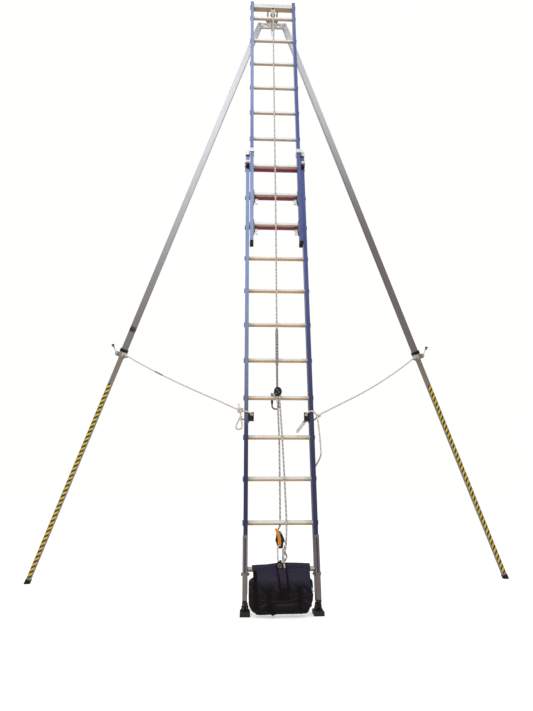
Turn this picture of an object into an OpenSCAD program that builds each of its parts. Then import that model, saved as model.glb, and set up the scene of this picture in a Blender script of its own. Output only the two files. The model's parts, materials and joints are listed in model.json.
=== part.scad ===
// Rescue tripod: a two-section extension ladder that leans back on two telescopic legs,
// with a head yoke, restraint ropes, a haul line with its devices, and a gear bag.
// Millimetres, +Z up, +X to the right as seen from the front, +Y to the rear.

/* [Ladder] */
// Distance between rungs along the ladder
rung_pitch = 254; // [250:1:260]
// Rung diameter
rung_d = 28; // [26:1:29]
// Lean of the ladder from the vertical, degrees
lean = 5; // [4:0.5:6]
// Height of the lowest rung above the floor, along the ladder
first_rung = 240; // [236:1:250]
// Width over the base stiles
base_w = 438; // [438:1:444]
// Width over the fly stiles
fly_w = 376; // [370:1:376]
// Depth of a base stile
base_depth = 70; // [66:1:70]

/* [Legs] */
// Distance of each leg's foot from the middle plane
leg_foot_x = 1850; // [1700:10:1950]
// Distance of the legs' feet behind the ladder's feet
leg_foot_y = 1130; // [1050:10:1200]
// Outer tube of a leg, across its flats
leg_od = 42; // [42:1:42]
// Inner tube of a leg, across its flats
leg_id = 32; // [28:1:32]

/* [Rigging] */
// Diameter of the haul line
rope_d = 11; // [10:0.5:11]
// Diameter of the restraint ropes
cord_d = 10; // [8:0.5:10]

/* [Hidden] */
$fn = 48;
lad_y = -526.32;          // the ladder's feet, so that the origin is under the middle of the part
stile_w = 26;
fly_stile_w = 25;
fly_off = 44;             // fly rungs in front of the base rungs
fly_depth = 52;
base_n = 12;
fly_first = 9;
fly_n = 9;
stile_foot = 112;
base_top = 3131;
fly_foot = 2381;
fly_top = 4716;
bx = base_w/2;            // outer face of a base stile
fx = fly_w/2;             // outer face of a fly stile
lev_z = 214;              // leveller bolt
foot_pin_z = 46;
shv_y = -34; shv_z = 4622; shv_r = 32.8;   // head sheave: axle and rope radius
pin_y = 73.4; pin_z = 4690.7;              // yoke pin
lock_r = 15;                               // locking pin, from the yoke pin
leg_px = 108; leg_pz = -52;                // leg pivots on the yoke
clamp_z = -3111;
lever_x = 39; lever_tilt = 46;
function zr(k) = first_rung + k*rung_pitch;
function lw(p) = [p.x, lad_y + p.y*cos(lean) + p.z*sin(lean), -p.y*sin(lean) + p.z*cos(lean)];
pin_w = lw([0, pin_y, pin_z]);
beta = atan2(lad_y + leg_foot_y - pin_w.y, pin_w.z);
plane_l = norm([lad_y + leg_foot_y - pin_w.y, pin_w.z]) + leg_pz;
gamma = atan2(leg_foot_x - leg_px, plane_l);
leg_len = norm([leg_foot_x - leg_px, plane_l]);

// Routes of the ropes, along the ladder: x, back, up the ladder
load_end = [[0, 9.5, 4500], [0, 2, 4580]];
over_sheave = [for (a = [15:30:165]) [0, shv_y + (shv_r/cos(15) + 0.15)*cos(a), shv_z + (shv_r/cos(15) + 0.15)*sin(a)]];
down_front = [[-2, -65, 3700], [-4, -64.4, 2490], [-8, -54, 1700], [-10, -50, 1330],
    [-10, -50, 1248], [-9, -42, 1216], [-4, -14, 1130], [0, 14, 1062], [2, 21, 1030],
    [2, 21, 760], [0, 21, 500], [-1, 21, 478], [-6, 14, 468], [-12, 0, 458],
    [-18, -8, 446], [-22.8, -8, 430]];
round_cam = [for (a = [180:30:300]) [-2 + 20.8*cos(a), -8, 405 + 20.8*sin(a)]];
tail = [[20, -8, 391.5], [26.5, -9, 390.5], [28.5, -13, 381], [26, -19, 366], [18, -23, 351],
    [19, -26, 336], [27, -29, 322], [31.5, -32, 307], [27, -34, 293], [17, -36, 285],
    [8.5, -38, 291], [7.5, -40, 303], [12, -41, 317], [20, -40, 334], [26, -38, 355],
    [30, -35, 387], [32.5, -33, 430], [34, -32, 490], [29, -32, 690],
    [19, -33, 960], [8, -42, 1170], [4, -50, 1240], [4, -50, 1265]];
haul_route = concat(load_end, over_sheave, down_front, round_cam, tail);
// left: from the knot round the stile and into the hanging loop
left_end = [[-262, -44, 1172], [-236, -47, 1163], [-205, -46, 1156], [-182, -43, 1149], [-171, -33, 1142],
    [-171, -12, 1140], [-174, 22, 1134], [-188, 43, 1128], [-208, 47, 1126], [-226, 43, 1126], [-237, 22, 1128], [-238, -8, 1132],
    [-244, -30, 1124], [-256, -36, 1096], [-270, -38, 1060], [-262, -38, 1046], [-238, -38, 1050],
    [-232, -42, 1076], [-240, -50, 1112], [-243, -56, 1136]];
// right: round the stile through the plate, then a tail outside
right_end = [[262, -34, 1143], [245, -22, 1133], [239, 2, 1126], [228, 40, 1122], [208, 47, 1124], [188, 43, 1130],
    [174, 22, 1136], [171, -12, 1140], [171, -33, 1142], [181, -43, 1153], [198, -47, 1160], [216, -46.5, 1157], [231, -40, 1146],
    [240, -36, 1128], [246, -30, 1090], [253, -24, 1010], [257, -18, 935], [257, -12, 893], [246, 8, 862], [223, 44, 822]];
left_span = [[-1168, 838, 1724], [-1000, 680, 1606], [-800, 500, 1478], [-600, 335, 1360], [-400, 180, 1250]];
right_span = [[1168, 838, 1724], [1000, 680, 1596], [800, 500, 1456], [600, 335, 1330], [400, 170, 1218]];

// --- frames -------------------------------------------------------------
module lad() { translate([0, lad_y, 0]) rotate([-lean, 0, 0]) children(); }
module side(s) { mirror([s < 0 ? 1 : 0, 0, 0]) children(); }
module yoke_frame() { translate(pin_w) rotate([beta, 0, 0]) children(); }
// a leg: origin on its pivot, +z up the leg, +x outboard, +y to the rear
module leg(s) { yoke_frame() side(s) translate([leg_px, 0, leg_pz]) rotate([0, -gamma, 0]) children(); }
// a foot: origin on its pin, level
module foot_frame(s) { translate(lw([0, 0, foot_pin_z])) side(s) children(); }

// --- shapes -------------------------------------------------------------
// a box from one corner to the other
module box(a, b) { translate(a) cube(b - a); }
// a round bar along X, from x0 to x1
module bar(r, x0, x1) { translate([x0, 0, 0]) rotate([0, 90, 0]) cylinder(r = r, h = x1 - x0); }
// a round bar along Y, from y0 to y1
module ybar(r, y0, y1) { translate([0, y0, 0]) rotate([-90, 0, 0]) cylinder(r = r, h = y1 - y0); }
// a hexagon head along X
module hexhead(r, x0, x1) { translate([x0, 0, 0]) rotate([0, 90, 0]) cylinder(r = r, h = x1 - x0, $fn = 6); }
// a tube of rungs
module rung(k, y, half) {
    translate([0, y, zr(k)]) difference() { bar(rung_d/2, -half, half); bar(rung_d/2 - 2.5, -half - 1, half + 1); }
}
// a bar swept along points
function unit(v) = v / norm(v);
function tang(p, i) = i == 0 ? unit(p[1] - p[0]) : i == len(p) - 1 ? unit(p[i] - p[i-1])
    : unit(unit(p[i+1] - p[i]) + unit(p[i] - p[i-1]));
function flat(u, t) = unit(u - (u*t)*t);
module sweep(p, r, n = 8) {
    us = [for (i = 0, u = flat([1, 0.3, 0.2], tang(p, 0)); i < len(p); i = i + 1,
        u = i < len(p) ? flat(u, tang(p, i)) : u) u];
    pts = [for (i = [0:len(p)-1]) for (j = [0:n-1])
        p[i] + r*(cos(360*j/n)*us[i] + sin(360*j/n)*cross(tang(p, i), us[i]))];
    sides = [for (i = [0:len(p)-2]) for (j = [0:n-1]) for (t = [0, 1])
        let (a = i*n + j, b = i*n + (j+1)%n, c = (i+1)*n + (j+1)%n, d = (i+1)*n + j) t == 0 ? [a, d, c] : [a, c, b]];
    ends = [[for (j = [0:n-1]) j], [for (j = [n-1:-1:0]) (len(p)-1)*n + j]];
    polyhedron(pts, concat(sides, ends));
}

// --- base section -------------------------------------------------------
module base_stile(s) {
    color([0.30, 0.34, 0.62]) lad() side(s) difference() {
        box([bx - stile_w, -base_depth/2, stile_foot], [bx, base_depth/2, base_top]);
        box([bx - stile_w + 4, -base_depth/2 + 4, stile_foot - 1], [bx - 4, base_depth/2 - 4, base_top + 1]);
        for (k = [1:base_n-1]) translate([0, 0, zr(k)]) bar(rung_d/2 + 0.05, bx - stile_w - 2, bx + 2);
        translate([0, 0, zr(0)]) bar(rung_d/2 + 0.05, bx - stile_w - 2, bx - stile_w + 6);
        translate([0, 0, lev_z]) bar(5.05, bx - stile_w - 2, bx + 2);
        for (z = [3072, 3098]) translate([0, 8, z]) bar(4.05, bx - stile_w - 2, bx + 2);
        for (z = [1113, 1144]) translate([0, 8, z]) bar(2.55, bx - stile_w - 2, bx - stile_w + 6);
    }
}
module base_stile_left() { base_stile(-1); }
module base_stile_right() { base_stile(1); }
module base_rungs() {
    color([0.86, 0.85, 0.82]) lad() { rung(0, 0, bx - 5); for (k = [1:8]) rung(k, 0, bx); }
}
module base_warning_rungs() { color([0.50, 0.08, 0.10]) lad() for (k = [9:base_n-1]) rung(k, 0, bx); }
module base_rung_bosses() {
    color([0.24, 0.28, 0.55]) lad() for (s = [-1, 1]) side(s) for (k = [1:base_n-1])
        translate([bx, 0, zr(k)]) rotate([0, 90, 0]) { cylinder(r = 17, h = 4); translate([0, 0, 4]) cylinder(r1 = 17, r2 = 15, h = 2); }
}
// caps on the stiles' tops and a buffer on the front of each
module base_end_caps() {
    color([0.05, 0.05, 0.06]) lad() for (s = [-1, 1]) side(s) {
        box([bx - stile_w, -base_depth/2, base_top], [bx, base_depth/2, base_top + 6]);
        box([bx - stile_w + 1, -base_depth/2 - 20, 3029], [bx - 1, -base_depth/2, 3044]);
    }
}
// castings that hold the fly's stiles: a collar, a block on the stile's top, a side plate and a stub
module stile_guides() {
    color([0.80, 0.80, 0.80]) lad() for (s = [-1, 1]) side(s) difference() {
        union() {
            box([fx - fly_stile_w - 4.7, -74.7, 3145], [197.9, -13.3, 3177]);
            box([195, -45, 3137.5], [223.3, 0, 3177]);
            box([bx + 0.3, -30, 3054], [223.3, 25, 3177]);
            box([bx + 0.3, -67, 3048], [223.3, -25, 3078]);
            translate([0, -52, 3063]) bar(15, 195, bx + 2);
        }
        box([fx - fly_stile_w - 0.7, -70.7, 3140], [193.9, -17.3, 3182]);
        box([fx - fly_stile_w - 6, -61, 3140], [fx - fly_stile_w, -27, 3182]);
        for (z = [3072, 3098]) translate([0, 8, z]) bar(4.05, bx - 2, 230);
    }
}
module base_bolts() {
    color([0.70, 0.70, 0.72]) lad() for (s = [-1, 1]) side(s) {
        for (z = [3072, 3098]) translate([0, 8, z]) {
            bar(4, bx - stile_w - 2, 225); hexhead(7, 223.3, 229); hexhead(7, bx - stile_w - 6.5, bx - stile_w);
        }
        translate([0, 0, lev_z]) { bar(5, bx - stile_w - 12, 226); hexhead(9, 223, 231); hexhead(9, bx - stile_w - 8.5, bx - stile_w); }
        for (z = [1113, 1144]) translate([0, 8, z]) { bar(2.5, 186, bx - stile_w + 4); bar(5, 183.5, 187.5); }
    }
}
// angle plates inside the base stiles, each with an eye for a restraint rope
module anchor_plates() {
    color([0.06, 0.06, 0.07]) lad() for (s = [-1, 1]) side(s) difference() {
        union() {
            box([187.5, -27, 1100], [bx - stile_w, 25, 1157]);
            box([158, -27, 1100], [bx - stile_w, -21, 1157]);
        }
        translate([171, 0, 1141]) ybar(8, -30, -18);
        for (z = [1113, 1144]) translate([0, 8, z]) bar(2.55, 185, 195);
    }
}

// --- levellers and feet -------------------------------------------------
module leveller_sleeve(s) {
    color([0.66, 0.65, 0.64]) lad() side(s) difference() {
        box([195, -38.6, 80], [222.6, 38.6, 425]);
        box([190, -35.4, 79], [bx + 0.4, 35.4, 426]);
        box([204, -40, 223], [212, -34, 407]);
        for (z = [223, 407]) translate([208, 0, z]) ybar(4, -40, -34);
        box([217, -5.3, lev_z], [224, 5.3, 404]);
        for (z = [lev_z, 404]) translate([0, 0, z]) bar(5.3, 217, 224);
    }
}
module leveller_sleeve_left() { leveller_sleeve(-1); }
module leveller_sleeve_right() { leveller_sleeve(1); }
// a plug in the sleeve with a neck, and the pin through it
module foot_bracket(s) {
    color([0.09, 0.09, 0.09]) lad() side(s) {
        difference() {
            union() {
                box([196, -35.4, 80], [bx + 0.4, 35.4, 108]);
                box([195, -38.6, 67.5], [222.6, 38.6, 80]);
                box([200.5, -18, foot_pin_z], [213.5, 18, 70]);
                translate([0, 0, foot_pin_z]) bar(18, 200.5, 213.5);
            }
            translate([0, 0, foot_pin_z]) bar(5.05, 190, 225);
        }
        translate([0, 0, foot_pin_z]) bar(5, 187, 227);
    }
}
module foot_bracket_left() { foot_bracket(-1); }
module foot_bracket_right() { foot_bracket(1); }
module foot(s) {
    h = lw([0, 0, foot_pin_z]).z;
    color([0.08, 0.075, 0.07]) foot_frame(s) difference() {
        union() {
            box([178, -48, -h], [236, 48, -h + 22]);
            for (m = [-1, 1]) translate([207, 0, 0]) side(m) {
                translate([0, 20, 0]) rotate([90, 0, 0]) linear_extrude(40) polygon([[7, -h + 20], [26, -h + 20], [16.5, 0], [7, 0]]);
                bar(20, 7, 16.5);
            }
        }
        bar(5.06, 170, 240);
        for (y = [-36, -18, 18, 36]) box([170, y - 2, -h - 1], [245, y + 2, -h + 4]);
    }
}
module foot_left() { foot(-1); }
module foot_right() { foot(1); }

// --- fly section --------------------------------------------------------
module fly_stile(s) {
    color([0.34, 0.38, 0.68]) lad() side(s) difference() {
        box([fx - fly_stile_w, -70, fly_foot], [fx, -18, fly_top]);
        box([fx - fly_stile_w + 3.5, -66.5, fly_foot - 1], [fx - 3.5, -21.5, fly_top + 1]);
        for (k = [fly_first:fly_first+fly_n-1]) translate([0, -fly_off, zr(k)]) bar(rung_d/2 + 0.05, fx - fly_stile_w - 2, fx + 2);
        for (y = [-32, -52]) translate([0, y, 4688]) bar(4.05, fx - fly_stile_w - 2, fx + 2);
    }
}
module fly_stile_left() { fly_stile(-1); }
module fly_stile_right() { fly_stile(1); }
module fly_rungs() { color([0.86, 0.85, 0.82]) lad() for (k = [fly_first:fly_first+fly_n-1]) rung(k, -fly_off, fx); }
module fly_rung_bosses() {
    color([0.26, 0.30, 0.58]) lad() for (s = [-1, 1]) side(s) for (k = [fly_first:fly_first+fly_n-1])
        translate([fx, -fly_off, zr(k)]) rotate([0, 90, 0]) { cylinder(r = 17, h = 3); translate([0, 0, 3]) cylinder(r1 = 17, r2 = 15.5, h = 1.5); }
}
module fly_end_caps() {
    color([0.05, 0.05, 0.06]) lad() for (s = [-1, 1]) side(s) {
        box([fx - fly_stile_w - 0.5, -70.5, fly_foot - 25], [fx + 0.5, -17.5, fly_foot]);
        box([fx - fly_stile_w - 0.5, -70.5, fly_top], [fx + 0.5, -17.5, fly_top + 6]);
    }
}
// hooks that hang the fly on two base rungs
module rung_hooks() {
    color([0.72, 0.72, 0.73]) lad() for (s = [-1, 1]) side(s) for (k = [fly_first, fly_first + 1]) translate([0, 0, zr(k)]) difference() {
        union() {
            box([157, -66, -74], [fx - fly_stile_w, -16.5, 26]);
            box([141, -28.5, -52], [157, -16.5, 26]);
            box([141, -28.5, 14.3], [157, 22, 26]);
            box([141, 16, 6], [157, 22, 26]);
        }
        translate([0, -fly_off, 0]) bar(rung_d/2 + 0.05, 140, 165);
        translate([0, -40, -44]) bar(3.05, 150, 165);
    }
}
module fly_bolts() {
    color([0.70, 0.70, 0.72]) lad() for (s = [-1, 1]) side(s) {
        for (y = [-32, -52]) translate([0, y, 4688]) { bar(4, 130, fx + 1); hexhead(7, fx, fx + 6); }
        for (k = [fly_first, fly_first + 1]) translate([0, -40, zr(k) - 44]) { bar(3, 128, 163); bar(5, 127, 130.5); }
    }
}
// a catch that hangs under a hook
module hook_catch(s, k) {
    color([0.62, 0.62, 0.63]) lad() side(s) translate([0, -40, zr(k) - 44]) difference() {
        union() { bar(6, 131, 151); box([131, -3, -38], [151, 3, 0]); box([131, -9, -38], [151, 3, -31]); }
        bar(3.06, 120, 160);
    }
}
module catch_lower_left() { hook_catch(-1, fly_first); }
module catch_lower_right() { hook_catch(1, fly_first); }
module catch_upper_left() { hook_catch(-1, fly_first + 1); }
module catch_upper_right() { hook_catch(1, fly_first + 1); }

// --- head ---------------------------------------------------------------
module head_crossbar() {
    color([0.72, 0.72, 0.74]) lad() difference() {
        union() {
            box([-fx + fly_stile_w + 0.3, -62, 4668], [fx - fly_stile_w - 0.3, -22, 4708]);
            for (s = [-1, 1]) side(s) {
                box([34, -24, 4668.7], [46, pin_y, 4712.7]);
                translate([0, pin_y, pin_z]) bar(22, 34, 46);
                box([11, shv_y - 20, 4622], [17, shv_y + 20, 4670]);
                translate([0, shv_y, shv_z]) bar(20, 11, 17);
            }
        }
        translate([0, pin_y, pin_z]) bar(8.05, -50, 50);
        translate([0, pin_y, pin_z + lock_r]) bar(3.05, -50, 50);
        translate([0, 25, pin_z]) bar(11, -50, 50);
        translate([0, shv_y, shv_z]) bar(6.05, -20, 20);
        for (s = [-1, 1]) side(s) for (y = [-32, -52]) translate([0, y, 4688]) bar(4.05, 128, 170);
    }
}
// the yoke's pin, the pin that locks it at its angle, and the sheave's axle
module head_pins() {
    color([0.60, 0.60, 0.62]) lad() {
        translate([0, pin_y, pin_z + lock_r]) { bar(3, -57, 49); bar(5.5, 46.4, 49.4); }
        translate([0, pin_y, pin_z]) { bar(8, -50, 50); bar(9.2, 46.5, 53); bar(9.2, -53, -46.5); }
        translate([0, shv_y, shv_z]) { bar(6, -20, 20); bar(9, 17.4, 22); bar(9, -22, -17.4); }
    }
}
module head_sheave() {
    color([0.75, 0.62, 0.30]) lad() translate([0, shv_y, shv_z]) rotate([0, 90, 0]) difference() {
        cylinder(r = 38, h = 20, center = true, $fn = 72);
        rotate_extrude($fn = 72) { translate([shv_r, 0]) circle(r = 5.8); translate([shv_r, -5.8]) square([8, 11.6]); }
        cylinder(r = 6.08, h = 30, center = true);
        for (a = [0:60:300]) rotate([0, 0, a]) translate([17, 0, 0]) cylinder(r = 5, h = 30, center = true);
    }
}
module head_yoke() {
    color([0.68, 0.68, 0.70]) yoke_frame() difference() {
        union() {
            bar(21, -33, 33);
            box([-33, -7, -60], [33, 7, 0]);
            box([-leg_px, -7, leg_pz - 24], [leg_px, 7, -28]);
            for (s = [-1, 1]) translate([s*leg_px, 0, leg_pz]) ybar(24, -7, 7);
        }
        bar(8.06, -40, 40);
        translate([0, lock_r*sin(lean + beta), lock_r*cos(lean + beta)]) bar(3.06, -40, 40);
        for (s = [-1, 1]) translate([s*leg_px, 0, leg_pz]) ybar(6.05, -10, 10);
        for (s = [-1, 1]) translate([s*55, 0, leg_pz]) ybar(12, -10, 10);
    }
}
module leg_pivot_bolts() {
    color([0.60, 0.60, 0.62]) yoke_frame() for (s = [-1, 1]) translate([s*leg_px, 0, leg_pz]) {
        ybar(6, -22, 22);
        for (y = [-24.5, 17.8]) translate([0, y, 0]) rotate([-90, 0, 0]) cylinder(r = 10, h = 6.7, $fn = 6);
    }
}
// a link for the load, on the end of the haul line
module load_link() {
    color([0.75, 0.75, 0.76]) lad() translate([0, 11, 4482]) link(12, 34, 4.5);
}
// an oval ring in the XZ plane, its upper bend round the origin
module link(r, l, w) {
    rotate([90, 0, 0]) { rotate_extrude(angle = 180) translate([r, 0]) circle(r = w);
        translate([0, -l, 0]) rotate([0, 0, 180]) rotate_extrude(angle = 180) translate([r, 0]) circle(r = w); }
    for (x = [-r, r]) translate([x, 0, -l]) cylinder(r = w, h = l);
}

// --- legs ---------------------------------------------------------------
module leg_fork(s) {
    color([0.66, 0.66, 0.67]) leg(s) difference() {
        union() {
            box([-17.9, -17.9, -140], [17.9, 17.9, -62]);
            box([-20, -17.4, -62], [20, 17.4, 0]);
            ybar(20, -17.4, 17.4);
        }
        box([-25, -7.4, -45], [25, 7.4, 25]);
        ybar(6.06, -20, 20);
    }
}
module leg_fork_left() { leg_fork(-1); }
module leg_fork_right() { leg_fork(1); }
module leg_outer(s) {
    r = leg_od/2;
    color([0.64, 0.63, 0.65]) leg(s) difference() {
        box([-r, -r, -3110], [r, r, -62]);
        box([-r + 3, -r + 3, -3111], [r - 3, r - 3, -61]);
    }
}
module leg_outer_left() { leg_outer(-1); }
module leg_outer_right() { leg_outer(1); }
// clamp on the end of the outer tube: collar, ear for the screw, rope eye
module leg_clamp(s) {
    r = leg_od/2 + 0.1; q = leg_id/2 + 0.4;
    color([0.70, 0.69, 0.67]) leg(s) difference() {
        union() {
            box([-25, -25, -3117], [25, 25, -3056]);
            box([-27, -27, -3084], [27, 27, -3060]);
            box([-21, -21, -3132], [21, 21, -3117]);
            box([20.5, -18, clamp_z - 18], [lever_x, 18, clamp_z + 18]);
            translate([lever_x, 0, clamp_z]) ybar(18, -18, 18);
            box([-36, -12, clamp_z - 9], [-20.5, 12, clamp_z + 9]);
            translate([-36, 0, clamp_z]) ybar(9, -12, 12);
            box([-25, -45, -3112], [-3, -26, -3100]);
        }
        box([-r, -r, -3110], [r, r, -3050]);
        box([-q, -q, -3140], [q, q, -3100]);
        box([22, -1.5, clamp_z - 40], [75, 1.5, clamp_z + 25]);
        translate([-36, 0, clamp_z]) ybar(4, -20, 20);
        translate([lever_x, 0, clamp_z]) ybar(5.1, -30, 30);
        translate([-14, -36, -3120]) cylinder(r = 6, h = 30);
    }
}
module leg_clamp_left() { leg_clamp(-1); }
module leg_clamp_right() { leg_clamp(1); }
// clamp screw with its hub, lever rod, tapered knob and rear nut
module clamp_lever(s) {
    color([0.55, 0.55, 0.57]) leg(s) translate([lever_x, 0, clamp_z]) {
        ybar(5, -30, 24);
        ybar(9, -42, -18.4);
        ybar(9, 18.4, 26);
        translate([0, -35, 0]) rotate([0, lever_tilt, 0]) { cylinder(r = 3, h = 60); translate([0, 0, 52]) cylinder(r1 = 5, r2 = 11, h = 24); }
    }
}
module clamp_lever_left() { clamp_lever(-1); }
module clamp_lever_right() { clamp_lever(1); }
module leg_inner(s) {
    r = leg_id/2;
    color([0.52, 0.49, 0.46]) leg(s) {
        difference() {
            box([-r, -r, -4958], [r, r, -2400]);
            box([-r + 3, -r + 3, -4959], [r - 3, r - 3, -2399]);
        }
        box([-17.6, -17.6, -2400], [17.6, 17.6, -2370]);
    }
}
module leg_inner_left() { leg_inner(-1); }
module leg_inner_right() { leg_inner(1); }
module leg_foot(s) {
    r = leg_id/2;
    color([0.06, 0.06, 0.06]) difference() {
        leg(s) difference() {
            box([-r - 2.5, -r - 2.5, -5040], [r + 2.5, r + 3, -4940]);
            box([-r - 0.05, -r - 0.05, -4958], [r + 0.05, r + 0.05, -4930]);
        }
        box([-3000, -2000, -300], [3000, 2000, 0]);
    }
}
module leg_foot_left() { leg_foot(-1); }
module leg_foot_right() { leg_foot(1); }

// --- rigging ------------------------------------------------------------
// rope grab: two cheeks, the cam's axle and a guide pin
module grab_cheeks() {
    color([0.10, 0.10, 0.12]) lad() {
        difference() {
            for (y = [-60, -44]) translate([-7, y + 4, 0]) rotate([90, 0, 0]) linear_extrude(4) union() {
                translate([0, 1290]) circle(r = 24); translate([0, 1277]) circle(r = 23); translate([-23.5, 1277]) square([47, 13]);
            }
            translate([9, 0, 1284]) ybar(4.05, -65, -35);
            translate([-23, 0, 1284]) ybar(3.05, -65, -35);
        }
        translate([9, 0, 1284]) { ybar(4, -61, -39.5); ybar(6.5, -63, -60); }
        translate([-23, 0, 1284]) { ybar(3, -61, -39.7); ybar(5, -62, -60); }
    }
}
module grab_cam() {
    color([0.55, 0.55, 0.56]) lad() translate([9, 0, 1284]) difference() {
        ybar(11.6, -55.7, -44.3); ybar(4.07, -60, -40);
        for (a = [0:72:288]) rotate([0, a, 0]) translate([7.6, 0, 0]) ybar(1.8, -60, -40);
    }
}
// plate from the grab over the rung to its carabiner
module grab_eye() {
    color([0.78, 0.78, 0.79]) lad() difference() {
        union() { box([-50, -39.6, 1279], [-20, 24, 1284]); translate([-35, 24, 1279]) cylinder(r = 15, h = 5); }
        translate([-35, 24, 1270]) cylinder(r = 10.6, h = 20);
        translate([-36, -18, 1270]) cylinder(r = 7, h = 20);
    }
}
// an oval carabiner in the XZ plane, its centre at the origin, its gate on the left
module carabiner(gap) {
    difference() {
        translate([0, 0, 29]) link(22, 58, 5.5);
        box([-30, -10, -29 + 2], [-10, 10, -29 + 2 + gap]);
    }
}
module gate(gap) {
    translate([-22, 0, -29 + 2]) difference() {
        translate([0, 0, 2.6]) cylinder(r = 5, h = gap - 3.6);
        translate([0, 0, 8]) ybar(1.5, -10, 10);
    }
}
module grab_frame() { lad() translate([-18, 24, 1240.5]) children(); }
module grab_carabiner() { color([0.45, 0.36, 0.24]) grab_frame() carabiner(54); }
module grab_gate() { color([0.08, 0.08, 0.09]) grab_frame() gate(54); }
// an egg-shaped plate, with a tab for the carabiner's hole where asked
module desc_plate(y0, y1, tab) {
    translate([0, y1, 0]) rotate([90, 0, 0]) linear_extrude(y1 - y0) union() {
        hull() { translate([-5, 397]) circle(r = 26); translate([-7, 434]) circle(r = 13); }
        if (tab) hull() { translate([-4, 390]) circle(r = 20); translate([-4, 369.5]) circle(r = 19.5); }
    }
}
module descender_plates() {
    color([0.09, 0.09, 0.10]) lad() difference() {
        union() { desc_plate(-2, 4, true); desc_plate(-18, -14, false); }
        translate([-4, 0, 371]) ybar(12, -6, 10);
        translate([-2, 0, 405]) ybar(4.05, -20, 10);
        translate([-1, 0, 437]) ybar(3.05, -20, 10);
        translate([-8, 0, 383]) ybar(4.05, -20, -10);
    }
}
// cam, its axle and the spacer bolt
module descender_cam() {
    color([0.65, 0.65, 0.66]) lad() {
        translate([-2, 0, 405]) { ybar(15, -13.6, -2.4); ybar(4, -18.4, 6); ybar(7, 4, 7); }
        translate([-1, 0, 437]) { ybar(3, -19, 6); ybar(5, 4, 6.5); ybar(5, -20, -18); }
    }
}
// a curved lever on the front plate
module descender_handle() {
    bend = [[-8.5, 378, 9.6], [-8.6, 395, 9.2], [-10.8, 414, 8.6], [-15, 431, 8.0], [-20.5, 444, 7.7], [-26.5, 454.5, 7.6]];
    color([0.90, 0.50, 0.05]) lad() difference() {
        union() {
            translate([0, -20.2, 0]) rotate([90, 0, 0]) linear_extrude(8) for (i = [0:len(bend)-2])
                hull() for (q = [bend[i], bend[i+1]]) translate([q.x, q.y]) circle(r = q.z);
            translate([-8, 0, 383]) ybar(4, -24, -14);
        }
        translate([-8, 0, 383]) ybar(2, -30, -25);
    }
}
module desc_crab_frame() { lad() translate([-4, 1, 320.5]) rotate([0, 0, 45]) mirror([1, 0, 0]) children(); }
module descender_carabiner() { color([0.80, 0.80, 0.81]) desc_crab_frame() carabiner(54); }
module descender_gate() { color([0.74, 0.74, 0.75]) desc_crab_frame() gate(54); }
// webbing loop round the lowest rung and the carabiner
module anchor_strop() {
    color([0.36, 0.24, 0.15]) lad() translate([-9, 0, 0]) rotate([90, 0, 90]) linear_extrude(10) difference() {
        union() { translate([0, 240]) circle(r = 18.6); translate([1, 271]) circle(r = 17.5); translate([-17.5, 240]) square([36, 31]); }
        translate([0, 240]) circle(r = 14.5);
        translate([1, 271]) circle(r = 13.5);
        translate([-13, 240]) square([27, 31]);
    }
}
// bag with two hanging sleeves on the lowest rung
module gear_bag() {
    color([0.10, 0.09, 0.14]) translate(lw([0, 0, first_rung])) {
        hull() for (p = [[-150, 142, -70, -42], [-157, 149, -90, -110], [-142, 134, -86, -186]]) {
            for (x = [p[0], p[1]]) for (y = [p[2], -46]) translate([x, y, p[3]]) sphere(r = 28, $fn = 16);
        }
        for (x = [[-172, -40], [44, 164]]) difference() {
            union() { bar(19.5, x[0], x[1]); box([x[0], -40, -34], [x[1], -10, 2]); }
            bar(14.4, x[0] - 1, x[1] + 1);
            box([x[0] - 1, -14.4, -40], [x[1] + 1, 14.4, -12]);
        }
    }
}
module haul_line() { color([0.80, 0.79, 0.75]) lad() sweep(haul_route, rope_d/2); }
module restraint_rope_left() {
    color([0.83, 0.80, 0.74]) sweep(concat([for (p = left_span) p + [0, lad_y, 0]], [for (p = left_end) lw(p)]), cord_d/2);
}
module restraint_rope_right() {
    color([0.83, 0.80, 0.74]) sweep(concat([for (p = right_span) p + [0, lad_y, 0]], [for (p = right_end) lw(p)]), cord_d/2);
}

base_stile_left();
base_stile_right();
base_rungs();
base_warning_rungs();
base_rung_bosses();
base_end_caps();
stile_guides();
base_bolts();
anchor_plates();
leveller_sleeve_left();
leveller_sleeve_right();
foot_bracket_left();
foot_bracket_right();
foot_left();
foot_right();
fly_stile_left();
fly_stile_right();
fly_rungs();
fly_rung_bosses();
fly_end_caps();
rung_hooks();
fly_bolts();
catch_lower_left();
catch_lower_right();
catch_upper_left();
catch_upper_right();
head_crossbar();
head_pins();
head_sheave();
head_yoke();
leg_pivot_bolts();
load_link();
leg_fork_left();
leg_fork_right();
leg_outer_left();
leg_outer_right();
leg_clamp_left();
leg_clamp_right();
clamp_lever_left();
clamp_lever_right();
leg_inner_left();
leg_inner_right();
leg_foot_left();
leg_foot_right();
grab_cheeks();
grab_cam();
grab_eye();
grab_carabiner();
grab_gate();
descender_plates();
descender_cam();
descender_handle();
descender_carabiner();
descender_gate();
anchor_strop();
gear_bag();
haul_line();
restraint_rope_left();
restraint_rope_right();
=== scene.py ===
import bpy
import bmesh
import json
import math
import numpy as np
from mathutils import Matrix, Vector

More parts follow.
